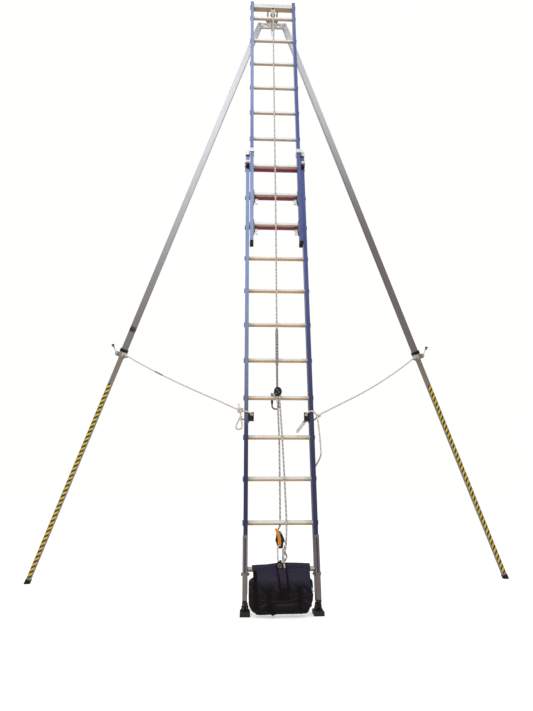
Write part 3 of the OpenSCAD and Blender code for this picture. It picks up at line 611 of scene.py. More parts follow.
# the low colours are painted shade; the right leg's is darker and starts higher up the leg
LEG = {s: extrusion("leg_aluminium_" + n, s, (0.56, 0.56, 0.585), (0.53, 0.53, 0.555), low, metal=0.2, rough=0.48)
       for n, s, low in (("left", -1, (0.165, 0.148, 0.145, -0.6, -3.0)), ("right", 1, (0.135, 0.118, 0.108, -0.2, -2.2)))}
INNER = {s: extrusion("inner_aluminium_" + n, s, (0.23, 0.190, 0.155), (0.185, 0.150, 0.118), metal=0.35, rough=0.48) for n, s in (("left", -1), ("right", 1))}
HAUL = braid("haul_rope", (0.66, 0.645, 0.61), (0.52, 0.51, 0.48), (0.055, 0.053, 0.060), [("a", 0), ("b", 5)], soil=(0.42, 0.34, 0.25), painted_warm_underside=0.55, stripe=(0.026, 0.36, 0.65))
SHEATH = braid("rope_sheath", (0.40, 0.362, 0.342), (0.285, 0.255, 0.247), (0.045, 0.040, 0.048), [("a", 0), ("a", 4), ("b", 2), ("b", 7)], soil=(0.25, 0.18, 0.13), painted_warm_underside=0.4, stripe=(0.022, 0.34, 0.5))
CORD = braid("restraint_rope", (0.82, 0.79, 0.72), (0.70, 0.65, 0.57), (0.24, 0.185, 0.14), [("a", 0), ("b", 5)], n=10, pitch=0.042, soil=(0.46, 0.35, 0.24), painted_warm_underside=0.8, stripe=(0.030, 0.30, 0.4))
PATCH = braid("repair_whipping", (0.23, 0.27, 0.36), (0.15, 0.18, 0.25), (0.07, 0.08, 0.12), [("a", 1)], n=8, pitch=0.012)
STROP = webbing("webbing_brown", (0.105, 0.058, 0.030), (0.18, 0.105, 0.055))
STROP_DARK = cast("webbing_brown_dark", (0.040, 0.026, 0.016), rough=0.85, metal=0.0, amount=0.3)
STRAP = webbing("webbing_black", (0.0058, 0.0042, 0.0034), (0.0092, 0.0070, 0.0060))
# the last colour is the painted shade that the flap darkens to low down
CLOTH = cloth("bag_cloth", (0.0165, 0.0135, 0.0270), (0.0270, 0.0235, 0.0450), (0.0068, 0.0047, 0.0042))
CLOTH_LOW = cloth("bag_cloth_low", (0.0070, 0.0049, 0.0038), (0.0112, 0.0086, 0.0096))
PIPING = webbing("bag_piping", (0.0085, 0.0070, 0.0085), (0.017, 0.0145, 0.020), 0.003)
HEM = webbing("bag_hem", (0.0190, 0.0170, 0.0300), (0.0330, 0.0300, 0.0520), 0.003)
YELLOW = tape("hazard_yellow", (0.60, 0.42, 0.012), (0.36, 0.24, 0.02))
TBLACK = tape("hazard_black", (0.0085, 0.0075, 0.0075), (0.03, 0.024, 0.018))
BAND = tape("band_tape", (0.010, 0.010, 0.011), (0.04, 0.035, 0.03), 0.32)
PALE = cast("pale_plastic", (0.62, 0.58, 0.52), rough=0.5, metal=0.0, amount=0.3)

LOOK = {
    "base_stile_left": FRP, "base_stile_right": FRP, "fly_stile_left": FRP_FLY, "fly_stile_right": FRP_FLY,
    "base_rungs": RUNG, "fly_rungs": RUNG_FLY, "base_warning_rungs": RED,
    "base_rung_bosses": BOSS, "fly_rung_bosses": BOSS, "base_end_caps": BLACK, "fly_end_caps": BLACK,
    "stile_guides": CAST, "rung_hooks": HOOK, "base_bolts": BOLT, "fly_bolts": BOLT, "anchor_plates": DARKMETAL,
    "leveller_sleeve_left": SLEEVE, "leveller_sleeve_right": SLEEVE_R_SHADED,
    "foot_bracket_left": FOOT, "foot_bracket_right": FOOT, "foot_left": FOOT, "foot_right": FOOT,
    "catch_lower_left": CATCH, "catch_lower_right": CATCH, "catch_upper_left": CATCH, "catch_upper_right": CATCH,
    "head_crossbar": CAST, "head_pins": STEEL, "head_sheave": BRASS, "head_yoke": CAST, "leg_pivot_bolts": STEEL,
    "load_link": SILVER, "leg_fork_left": CAST, "leg_fork_right": CAST,
    "leg_outer_left": LEG[-1], "leg_outer_right": LEG[1], "leg_clamp_left": CLAMP[-1], "leg_clamp_right": CLAMP[1],
    "clamp_lever_left": STEEL, "clamp_lever_right": STEEL,
    "leg_inner_left": INNER[-1], "leg_inner_right": INNER[1], "leg_foot_left": BLACK, "leg_foot_right": BLACK,
    "grab_cheeks": DARKMETAL, "grab_cam": STEEL, "grab_eye": SILVER, "grab_carabiner": BRONZE, "grab_gate": DARKMETAL,
    "descender_plates": DARKMETAL, "descender_cam": STEEL, "descender_handle": ORANGE,
    "descender_carabiner": SILVER, "descender_gate": SILVER, "anchor_strop": STROP,
    "gear_bag": CLOTH, "haul_line": HAUL, "restraint_rope_left": CORD, "restraint_rope_right": CORD,
}
for name, o in nodes.items():
    o.data.materials.clear()
    o.data.materials.append(LOOK[name])

# --- ropes -------------------------------------------------------------------------
def ease(t, a, b):
    t = min(1.0, max(0.0, (t - a) / (b - a)))
    return t * t * (3 - 2 * t)


SHV_Y, SHV_Z, SHV_R = -34, 4622, 32.9
route = [(0, 9.5, 4500), (0, 2, 4580)]
route += [(0, SHV_Y + SHV_R * math.cos(math.radians(a)), SHV_Z + SHV_R * math.sin(math.radians(a))) for a in range(0, 181, 15)]
route += [(-2, -65, 3700), (-4, -64.4, 2490), (-8, -54, 1700), (-10, -50, 1330),
          (-10, -50, 1248), (-9, -42, 1216), (-4, -14, 1130), (0, 14, 1062), (2, 21, 1030),
          (2, 21, 760), (0, 21, 500), (-1, 21, 478), (-6, 14, 468), (-12, 0, 458), (-18, -8, 446), (-22.8, -8, 430)]
route += [(-2 + 20.8 * math.cos(math.radians(a)), -8, 405 + 20.8 * math.sin(math.radians(a))) for a in range(180, 301, 20)]
route += [(20, -8, 391.5), (26.5, -9, 390.5), (28.5, -13, 381), (26, -19, 366), (18, -23, 351),
          (19, -26, 336), (27, -29, 322), (31.5, -32, 307), (27, -34, 293), (17, -36, 285), (8.5, -38, 291), (7.5, -40, 303),
          (12, -41, 317), (20, -40, 334), (26, -38, 355), (30, -35, 387), (32.5, -33, 430), (34, -32, 490),
          (29, -32, 690), (19, -33, 960), (8, -42, 1170), (4, -50, 1240), (4, -50, 1265)]
haul_pts = spline([lw(*p) for p in route], 0.009)
haul = tube("haul_rope", haul_pts, 0.0055, HAUL, 12)
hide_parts("haul_line")
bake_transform(haul)

# a stopper knot and eye at the load link, and whipping on the tail
eye_pts = [lw(17 * math.sin(a) * 0.62, 10 + 4 * math.cos(a * 0.5), 4500 - 14 * math.cos(a) + 2) for a in np.linspace(0, 2 * math.pi, 33)[:-1]]
load_eye = tube("load_eye", eye_pts, 0.0048, HAUL, 10, closed=True)
wrap_pts = [lw(10.4 * math.cos(a), 8 + 10.4 * math.sin(a), 4521 + 4.9 * a / math.pi) for a in np.linspace(0, 10 * math.pi, 121)]
load_wrap = tube("load_wrap", wrap_pts, 0.0046, HAUL, 10)
for p in (load_eye, load_wrap):
    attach(p, "fly")
# a short tail that hangs from the loop, in front of the bag's flap
haul_tail = tube("haul_tail", spline([lw(21, -41, 339), lw(17, -48, 325), lw(12.5, -52, 306), lw(13, -52.5, 289), lw(14.5, -50, 270), lw(16.5, -46, 252), lw(17, -45, 247)], 0.004), 0.0052, HAUL, 12)
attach(haul_tail, "base")

# a braided sleeve on the haul line above the grab, thick where it is doubled
sleeve_axis = [p for p in haul_pts if lw(0, 0, 1296).z < p[2] < lw(0, 0, 1722).z and p[1] < LAD_Y + 0.2 and p[0] < -0.006]
sleeve_axis = sorted(sleeve_axis, key=lambda p: -p[2])
prof = [0.0073 + 0.0028 * ease(p[2], lw(0, 0, 1460).z, lw(0, 0, 1478).z) * (1 - ease(p[2], lw(0, 0, 1700).z, lw(0, 0, 1718).z)) + 0.0003 * math.sin(i * 1.9) for i, p in enumerate(sleeve_axis)]
rope_sleeve = tube("rope_sleeve", sleeve_axis, 0.0078, SHEATH, 14, radius=prof)
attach(rope_sleeve, "base")

LEFT_END = [(-262, -44, 1172), (-236, -47, 1163), (-205, -46, 1156), (-182, -43, 1149), (-171, -33, 1142),
            (-171, -12, 1140), (-174, 22, 1134), (-188, 43, 1128), (-208, 47, 1126), (-226, 43, 1126), (-237, 22, 1128),
            (-238, -8, 1132), (-244, -30, 1124), (-256, -36, 1096), (-270, -38, 1060), (-262, -38, 1046),
            (-238, -38, 1050), (-232, -42, 1076), (-240, -50, 1112), (-243, -56, 1136)]
RIGHT_END = [(262, -34, 1143), (245, -22, 1133), (239, 2, 1126), (228, 40, 1122), (208, 47, 1124), (188, 43, 1130),
             (174, 22, 1136), (171, -12, 1140), (171, -33, 1142), (181, -43, 1153), (198, -47, 1160), (216, -46.5, 1157),
             (231, -40, 1146), (240, -36, 1128), (246, -30, 1090), (253, -24, 1010), (257, -18, 935), (257, -12, 893),
             (246, 8, 862), (223, 44, 822)]
SPAN = {-1: [(-1.168, 0.838, 1.724), (-1.0, 0.680, 1.606), (-0.8, 0.5, 1.478), (-0.6, 0.335, 1.360), (-0.4, 0.180, 1.250)],
        1: [(1.168, 0.838, 1.724), (1.0, 0.680, 1.596), (0.8, 0.5, 1.456), (0.6, 0.335, 1.330), (0.4, 0.170, 1.218)]}


def knot(name, centre, size, turn, mat, r):
    """An overhand knot, drawn tight, as one closed loop of rope."""
    pts = []
    M = Matrix.Rotation(turn[2], 3, "Z") @ Matrix.Rotation(turn[1], 3, "Y") @ Matrix.Rotation(turn[0], 3, "X")
    for a in np.linspace(0, 2 * math.pi, 97)[:-1]:
        v = Vector(((math.sin(a) + 2 * math.sin(2 * a)) / 3 * size[0], (math.cos(a) - 2 * math.cos(2 * a)) / 3 * size[1], -math.sin(3 * a) * size[2]))
        pts.append(Vector(centre) + M @ v)
    return tube(name, pts, r, mat, 10, closed=True)


for side, s, ends in (("left", -1, LEFT_END), ("right", 1, RIGHT_END)):
    tie_world = [lw(*p) for p in ends]
    span_pts = [Vector((x, y + LAD_Y, z)) for x, y, z in SPAN[s]]
    eye = lg(s, -14, -36, -3106)
    whole = spline(span_pts + tie_world, 0.007)
    cut = next(i for i, p in enumerate(whole) if abs(p[0]) < (0.2435 if s < 0 else 0.2375))
    span_line, tie_line = whole[:cut + 1], whole[cut:]
    span = tube("restraint_span_" + side, span_line, 0.005, CORD, 10)
    tie = tube("restraint_tie_" + side, tie_line, 0.005, CORD, 10)
    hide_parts("restraint_rope_" + side)
    for p in (span, tie):
        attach(p, "base")
    extra = []
    if s < 0:
        extra.append(knot("knot_left", lw(-246, -53, 1163), (0.019, 0.016, 0.009), (1.2, 0.3, 0.2), CORD, 0.0048))
        nub = tube("knot_nub_left", spline([lw(-243, -56, 1136), lw(-240, -62, 1152), lw(-247, -58, 1176), lw(-253, -52, 1192), lw(-255, -49, 1203)], 0.004), 0.0048, CORD, 10)
        extra.append(nub)
    else:
        along = (lw(245, -22, 1133) - lw(262, -34, 1143)).normalized()
        e1 = along.cross(Vector((0, 0, 1))).normalized()
        e2 = along.cross(e1)
        turn = [lw(251, -26.5, 1136.5) + along * (0.0115 * (a / (3 * math.pi) - 0.5)) + (e1 * math.cos(a) + e2 * math.sin(a)) * 0.0093 for a in np.linspace(0, 3 * math.pi, 49)]
        extra.append(tube("half_hitch_right", turn, 0.0043, CORD, 10))
        bight = [lw(186, 46, 1118), lw(168, 30, 1104), lw(160, -10, 1088), lw(140, -32, 1060), lw(121, -37, 1037), lw(113, -38, 1028),
                 lw(107, -39, 1033), lw(113, -38, 1043), lw(133, -33, 1068), lw(152, -12, 1096), lw(162, 28, 1112), lw(184, 52, 1128)]
        b = tube("bight_right", spline(bight, 0.004), 0.0048, CORD, 10)
        extra.append(b)
    for p in extra:
        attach(p, "base")
    # the loop through the clamp's eye rides with the leg
    lead = Vector(span_line[1]) - Vector(span_line[0])
    lead.normalize()
    out_dir = lg(s, -14, -46, -3106) - lg(s, -14, -36, -3106)
    out_dir.normalize()
    axis_dir = lg(s, 0, 0, 1) - lg(s, 0, 0, 0)
    axis_dir.normalize()
    c0 = eye + out_dir * 0.004
    loop_pts = []
    for a in np.linspace(0, 2 * math.pi, 41)[:-1]:
        loop_pts.append(c0 + out_dir * (0.0105 - 0.0115 * math.cos(a)) + axis_dir * (0.0145 * math.sin(a)))
    loop = tube("clamp_loop_" + side, loop_pts, 0.0042, CORD, 10, closed=True)
    hitch = knot("clamp_hitch_" + side, Vector(span_line[0]) + lead * 0.012, (0.013, 0.012, 0.007), (0.4, 0.9, 0.2 * s), CORD, 0.0044)
    for p in (loop, hitch):
        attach(p, "leg_" + side)
    # how far the span's end would move as its leg folds in, worked out here but not applied
    ax = R_BETA @ Vector((0, 1, 0)) * (-s)
    piv = lg(s, 0, 0, 0)
    P0 = Vector(span_line[0])
    fold = Matrix.Rotation(math.radians(-17.5), 3, ax)
    D = piv + fold @ (P0 - piv) - P0
    a = D.normalized()
    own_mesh(span)

# a whipped repair on the left restraint rope
pts = spline([Vector((x, y + LAD_Y, z)) for x, y, z in SPAN[-1]] + [lw(*LEFT_END[0])], 0.004)
patch = [p for p in pts if -0.872 < p[0] < -0.806]
whip = tube("rope_whipping_left", patch, 0.0058, PATCH, 12)
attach(whip, "base")
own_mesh(whip)

# --- tapes on the legs -----------------------------------------------------------------
def hazard(side, s):
    """Striped tape on the front of an inner tube: bands cut at 45 degrees, alternating."""
    top, bottom, w, y, half = -3352.0, -4924.0, 12.6, -16.14, 20.0
    slope = -1.0 if s < 0 else 1.0
    verts, faces, index = [], [], []
    cols = 4

    def add(quad, mat):
        """One band, cut off at the tape's ends."""
        k0 = len(verts)
        for x, z in quad:
            verts.append(lg(s, x, y - 0.05 * (1 - (x / w) ** 6), z))
        f = tuple(range(k0, k0 + len(quad)))
        faces.append(f if s > 0 else f[::-1])
        index.append(mat)

    def clip(poly, lim, keep_below):
        out = []
        for i in range(len(poly)):
            p, q = poly[i], poly[(i + 1) % len(poly)]
            pin = (p[1] <= lim) if keep_below else (p[1] >= lim)
            qin = (q[1] <= lim) if keep_below else (q[1] >= lim)
            if pin:
                out.append(p)
            if pin != qin:
                t = (lim - p[1]) / (q[1] - p[1])
                out.append((p[0] + t * (q[0] - p[0]), lim))
        return out

    k = 0
    z = top + 2 * w
    while z > bottom - 2 * w:
        for c in range(cols):
            x0, x1 = -w + 2 * w * c / cols, -w + 2 * w * (c + 1) / cols
            poly = [(x0, z + slope * x0), (x0, z - half + slope * x0), (x1, z - half + slope * x1), (x1, z + slope * x1)]
            poly = clip(clip(poly, top, True), bottom, False) if poly else poly
            if len(poly) > 2:
                add(poly, k % 2)
        k += 1
        z -= half
    o = mesh_object("hazard_tape_" + side, verts, faces, [YELLOW, TBLACK], False, None, index)
    bm = bmesh.new()
    bm.from_mesh(o.data)
    bmesh.ops.remove_doubles(bm, verts=bm.verts, dist=1e-6)
    bmesh.ops.recalc_face_normals(bm, faces=bm.faces)
    front = lg(s, 0, -30, -4000) - lg(s, 0, 0, -4000)
    if sum(f.normal.dot(front) for f in bm.faces) < 0:
        bmesh.ops.reverse_faces(bm, faces=bm.faces)
    bm.to_mesh(o.data)
    bm.free()
    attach(o, "leg_inner_" + side)
    return o


for side, s in (("left", -1), ("right", 1)):
    hazard(side, s)

# one band of black tape round the left outer tube, with an overlapped end
verts, faces = [], []
q, rr = 21.35, 2.2
prof = []
for cx, cy, a0 in ((q - rr, -q + rr, -90), (q - rr, q - rr, 0), (-q + rr, q - rr, 90), (-q + rr, -q + rr, 180)):
    for a in (0, 30, 60, 90):
        prof.append((cx + rr * math.cos(math.radians(a0 + a)), cy + rr * math.sin(math.radians(a0 + a))))
m = len(prof)
levels = [(-2861.0, 0.985), (-2861.4, 1.0), (-2884.0, 1.002), (-2907.4, 1.0), (-2908.0, 0.985)]
for z, k in levels:
    for i, (x, y) in enumerate(prof):
        verts.append(lg(-1, x * k, y * k, z + 1.1 * math.sin(i * 0.7)))
for i in range(len(levels) - 1):
    for j in range(m):
        faces.append((i * m + j, i * m + (j + 1) % m, (i + 1) * m + (j + 1) % m, (i + 1) * m + j))
band = mesh_object("tape_band_left", verts, faces, [BAND], True)
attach(band, "leg_left")

# knobs on the clamp levers, turned, black
for side, s in (("left", -1), ("right", 1)):
    t = math.radians(46)
    base = Vector((39, -35, -3111))
    d = Vector((math.sin(t), 0, math.cos(t)))
    e1 = Vector((math.cos(t), 0, -math.sin(t)))
    e2 = Vector((0, 1, 0))
    prof = [(50.8, 4.6), (51.4, 5.4), (54, 5.7), (60, 6.9), (68, 9.4), (74.2, 11.3), (75.6, 11.7), (76.6, 11.2), (77.0, 9.0), (77.1, 0.01)]
    sides = 28
    verts, faces = [], []
    for hgt, rad in prof:
        for j in range(sides):
            a = 2 * math.pi * j / sides
            p = base + d * hgt + (e1 * math.cos(a) + e2 * math.sin(a)) * rad
            verts.append(lg(s, *p))
    for i in range(len(prof) - 1):
        for j in range(sides):
            f = (i * sides + j, i * sides + (j + 1) % sides, (i + 1) * sides + (j + 1) % sides, (i + 1) * sides + j)
            faces.append(f if s > 0 else f[::-1])
    knob = mesh_object("lever_knob_" + side, verts, faces, [BLACK], True)
    bm = bmesh.new()
    bm.from_mesh(knob.data)
    bmesh.ops.remove_doubles(bm, verts=bm.verts, dist=1e-5)
    bmesh.ops.holes_fill(bm, edges=[e for e in bm.edges if e.is_boundary], sides=0)
    bmesh.ops.recalc_face_normals(bm, faces=bm.faces)
    bm.to_mesh(knob.data)
    bm.free()
    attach(knob, "clamp_lever_" + side)

# rubber stops in the feet, under the brackets' necks
for side, s in (("left", -1), ("right", 1)):
    pin = lw(207 * s, 0, 46)
    verts, faces = [], []
    for z, e in ((0.0205, 0.0), (0.0262, 0.0), (0.0270, 0.0008)):
        for x, y in ((-1, -1), (1, -1), (1, 1), (-1, 1)):
            verts.append(Vector((pin.x + x * (0.0066 - e), pin.y + y * (0.017 - e), z)))
    for i in (0, 1):
        for j in range(4):
            q = (j + 1) % 4
            faces.append((i * 4 + j, i * 4 + q, i * 4 + 4 + q, i * 4 + 4 + j))
    faces += [(3, 2, 1, 0), (8, 9, 10, 11)]
    stop = mesh_object("foot_stop_" + side, verts, faces, [FOOT], False)
    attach(stop, "foot_" + side)

# screw sleeve on the grab carabiner's gate, knurled
verts, faces = [], []
prof = [(11.5, 5.1), (11.9, 6.4), (13.5, 7.0), (38.5, 7.0), (40.1, 6.4), (40.5, 5.1)]
for hgt, rad in prof:
    for j in range(72):
        a = 2 * math.pi * j / 72
        k = rad + (0.28 if j % 2 and rad > 6.5 else 0.0)
        verts.append(lw(-40 + k * math.cos(a), 24 + k * math.sin(a), 1213.5 + hgt))
for i in range(len(prof)):
    for j in range(72):
        k, q = (i + 1) % len(prof), (j + 1) % 72
        faces.append((i * 72 + j, i * 72 + q, k * 72 + q, k * 72 + j))
screw = mesh_object("gate_screw", verts, faces, [DARKMETAL], True)
bm = bmesh.new()
bm.from_mesh(screw.data)
bmesh.ops.recalc_face_normals(bm, faces=bm.faces)
bm.to_mesh(screw.data)
bm.free()
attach(screw, "grab_gate")

# rubber retainer in the descender's hole, and rivets on the front of the rope grab
retainer = tube("descender_retainer", [lw(-4 + 9.8 * math.cos(a), 1, 371 + 9.8 * math.sin(a)) for a in np.linspace(0, 2 * math.pi, 41)[:-1]], 0.0022, BLACK, 10, closed=True)
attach(retainer, "base")
verts, faces = [], []
prof = [(0.3, -2.1), (2.4, -1.9), (3.9, -1.2), (4.3, 0.2), (0.3, 0.2)]
for cx, cz in ((-11, 1294), (-1, 1281), (-19, 1270)):
    k0 = len(verts)
    for rad, dy in prof:
        for j in range(24):
            a = 2 * math.pi * j / 24
            verts.append(lw(cx + rad * math.cos(a), -60 + dy, cz + rad * math.sin(a)))
    for i in range(len(prof)):
        for j in range(24):
            k, q = (i + 1) % len(prof), (j + 1) % 24
            faces.append((k0 + i * 24 + j, k0 + i * 24 + q, k0 + k * 24 + q, k0 + k * 24 + j))
rivets = mesh_object("grab_rivets", verts, faces, [BOLT], True)
bm = bmesh.new()
bm.from_mesh(rivets.data)
bmesh.ops.recalc_face_normals(bm, faces=bm.faces)
bm.to_mesh(rivets.data)
bm.free()
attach(rivets, "base")

# --- gear bag ------------------------------------------------------------------------
RC = lw(0, 0, 240)


def bag_shape(u, v, w):
    """A soft box from a cube's point in -1..1: full in the middle, drawn in at the bottom."""
    k = (w + 1) / 2
    half = 0.172 + 0.0150 * ease(k, 0.0, 0.35) - 0.009 * ease(k, 0.86, 1.0)
    front = -(0.084 + 0.027 * math.sin(math.pi * (0.10 + 0.72 * (1 - k)))) + 0.010 * u * u
    back = -0.024 - 0.004 * u * u
    e = 5.0
    n = (abs(u) ** e + abs(v) ** e) ** (1 / e)
    m = max(abs(u), abs(v))
    f = m / n if n > 1e-9 else 1
    uu, vv = u * f, v * f
    e = 6.0 + (16.0 * ease(u, 0.0, 1.0) if w < 0 else 3.0)
    n2 = (m ** e + abs(w) ** e) ** (1 / e)
    m2 = max(m, abs(w))
    g = m2 / n2 if n2 > 1e-9 else 1
    uu, vv, ww = uu * g, vv * g, w * g
    x = -0.0040 + half * uu - max(0.0, uu) * (0.006 + 0.012 * (1 - ease(k, 0.0, 0.5)))
    y = (front + back) / 2 + (front - back) / 2 * (-vv)
    z = -0.118 + 0.099 * ww + 0.0045 * u * (1 - k)
    return Vector((x, y, z))


def noise3(p, f, seed):
    q = np.array(p) * f + seed
    return float(np.sin(q[0] * 1.7 + 2.1 * np.sin(q[2] * 0.9 + seed)) * np.cos(q[2] * 1.3 + 1.7 * np.sin(q[0] * 0.7)) + 0.5 * np.sin(q[0] * 3.1 + q[2] * 2.3 + q[1]))


def cube_sphere(nu, nv, nw):
    """A box's surface as a grid of nu by nv by nw cells, in -1..1."""
    bm = bmesh.new()
    idx = {}

    def vert(i, j, k):
        key = (i, j, k)
        if key not in idx:
            idx[key] = bm.verts.new((2 * i / nu - 1, 2 * j / nv - 1, 2 * k / nw - 1))
        return idx[key]

    for i in range(nu):
        for k in range(nw):
            for j in (0, nv):
                f = [vert(i, j, k), vert(i + 1, j, k), vert(i + 1, j, k + 1), vert(i, j, k + 1)]
                bm.faces.new(f if j == 0 else f[::-1])
        for j in range(nv):
            for k in (0, nw):
                f = [vert(i, j, k), vert(i, j + 1, k), vert(i + 1, j + 1, k), vert(i + 1, j, k)]
                bm.faces.new(f if k == 0 else f[::-1])
    for j in range(nv):
        for k in range(nw):
            for i in (0, nu):
                f = [vert(i, j, k), vert(i, j, k + 1), vert(i, j + 1, k + 1), vert(i, j + 1, k)]
                bm.faces.new(f if i == 0 else f[::-1])
    return bm


def settle(o, frames, pressure, gravity, cap, pins=None, collide=None, tension=12.0, bend=1.2, quality=6):
    """Runs cloth on a mesh and keeps its last shape, with each point's move capped."""
    rest = np.array([v.co for v in o.data.vertices], float)
    if pins is not None:
        g = o.vertex_groups.new(name="pin")
        for i, w in pins.items():
            g.add([i], w, "REPLACE")
    mod = o.modifiers.new("cloth", "CLOTH")
    st = mod.settings
    st.quality = quality
    st.mass = 0.3
    st.tension_stiffness = st.compression_stiffness = tension
    st.shear_stiffness = 4
    st.bending_stiffness = bend
    st.use_pressure = pressure > 0
    st.uniform_pressure_force = pressure
    st.effector_weights.gravity = gravity
    if pins is not None:
        st.vertex_group_mass = "pin"
    mod.collision_settings.use_collision = bool(collide)
    mod.collision_settings.distance_min = 0.002
    mod.collision_settings.use_self_collision = False
    cols = []
    for c in collide or []:
        cm = c.modifiers.new("collide", "COLLISION")
        c.collision.thickness_outer = 0.002
        c.collision.thickness_inner = 0.02
        c.collision.cloth_friction = 12
        cols.append((c, cm))
    mod.point_cache.frame_start, mod.point_cache.frame_end = 1, frames
    for f in range(1, frames + 1):
        scene.frame_set(f)
    dg = bpy.context.evaluated_depsgraph_get()
    ev = o.evaluated_get(dg)
    got = np.array([v.co for v in ev.to_mesh().vertices], float)
    ev.to_mesh_clear()
    o.modifiers.remove(mod)
    for c, cm in cols:
        c.modifiers.remove(cm)
    scene.frame_set(1)
    if len(got) == len(rest) and np.isfinite(got).all():
        d = got - rest
        far = np.linalg.norm(d, axis=1)
        d *= np.minimum(1, cap / np.maximum(far, 1e-9))[:, None]
        o.data.vertices.foreach_set("co", (rest + d).ravel())
        o.data.update()
    if pins is not None:
        o.vertex_groups.remove(o.vertex_groups["pin"])


bm = cube_sphere(80, 18, 44)
for v in bm.verts:
    v.co = RC + bag_shape(*v.co)
me = bpy.data.meshes.new("bag_body")
bm.to_mesh(me)
bm.free()
body = bpy.data.objects.new("bag_body", me)
scene.collection.objects.link(body)
me.materials.append(CLOTH_LOW)
me.polygons.foreach_set("use_smooth", [True] * len(me.polygons))
settle(body, 18, 3.0, 0.15, 0.009, tension=14, bend=0.6)
# hollows and slack folds, deepest low down, and a few long folds across the front
FOLDS = [((0.112, 0.092), (0.172, 0.050), 0.0080, 0.0085), ((-0.142, 0.036), (-0.078, 0.076), 0.0085, 0.0085),
         ((-0.058, 0.058), (0.098, 0.066), 0.0085, 0.0070), ((-0.178, 0.150), (-0.150, 0.060), 0.0090, 0.0045),
         ((0.150, 0.170), (0.170, 0.105), 0.0085, 0.0050), ((-0.120, 0.078), (-0.168, 0.058), 0.0070, 0.0050)]
for v in me.vertices:
    p = v.co - RC
    low = min(1, max(0, (-p.z - 0.06) / 0.14))
    amp = 0.0014 + 0.0026 * low
    nz = noise3(p, 34, 1.3) * 0.6 + noise3(p, 71, 4.1) * 0.4
    nrm = v.normal
    lift = amp * nz * 0.6 - 0.004
    if nrm.y < -0.2:
        for (xa, za), (xb, zb), wide, high in FOLDS:
            q = np.array([v.co.x - xa, v.co.z - za])
            d = np.array([xb - xa, zb - za])
            t = min(1.0, max(0.0, float(q @ d) / float(d @ d)))
            far = float(np.linalg.norm(q - t * d)) / wide
            lift += high * math.exp(-far * far) * (0.35 + 0.65 * math.sin(math.pi * t)) - 0.0015 * math.exp(-((far - 1.7) / 0.6) ** 2)
    v.co = v.co + nrm * lift
me.update()
sub = body.modifiers.new("sub", "SUBSURF")
sub.levels = sub.render_levels = 1
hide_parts("gear_bag")
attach(body, "base")


def front_y(x, z):
    """How far forward the bag's front is at a place, from its mesh."""
    ok, loc, nrm, _ = body.closest_point_on_mesh(Vector((x, RC.y - 0.16, z)))
    hit, loc2, nrm2, _ = body.ray_cast(Vector((x, RC.y - 0.4, z)), Vector((0, 1, 0)))
    return loc2.y if hit else loc.y


# flap: a sleeve over the rung, slit for the strop, and a front sheet that hangs over the bag
FLAP_X = (-0.168, 0.166)
FLAP_TOP = [(0.0180, -0.012), (0.0212, 0.003), (0.0200, 0.0180), (0.0120, 0.0275), (0.0010, 0.0308), (-0.0110, 0.0300), (-0.0200, 0.0245), (-0.0240, 0.0135), (-0.0262, 0.0020)]


def hang_line(x, bottom):
    """The taut line, seen from the side, from the rung's front over the bag down to a height."""
    y0, z0 = FLAP_TOP[-1]
    pts = [(z0, -y0)]
    for i in range(1, 61):
        z = z0 + (bottom - z0) * i / 60
        hit, loc, nrm, _ = body.ray_cast(Vector((x, RC.y - 0.4, RC.z + z)), Vector((0, 1, 0)))
        f = (RC.y - loc.y + 0.0042) if hit and loc.y - RC.y < -0.03 else 0.0
        pts.append((z, f))
    top = max(p[1] for p in pts)
    pts.append((bottom, top))
    hull = []
    for p in sorted(pts, key=lambda q: (-q[0], q[1])):
        while len(hull) > 1 and (hull[-1][0] - hull[-2][0]) * (p[1] - hull[-2][1]) - (hull[-1][1] - hull[-2][1]) * (p[0] - hull[-2][0]) <= 0:
            hull.pop()
        hull.append(p)
    return [(-f, z) for z, f in hull]


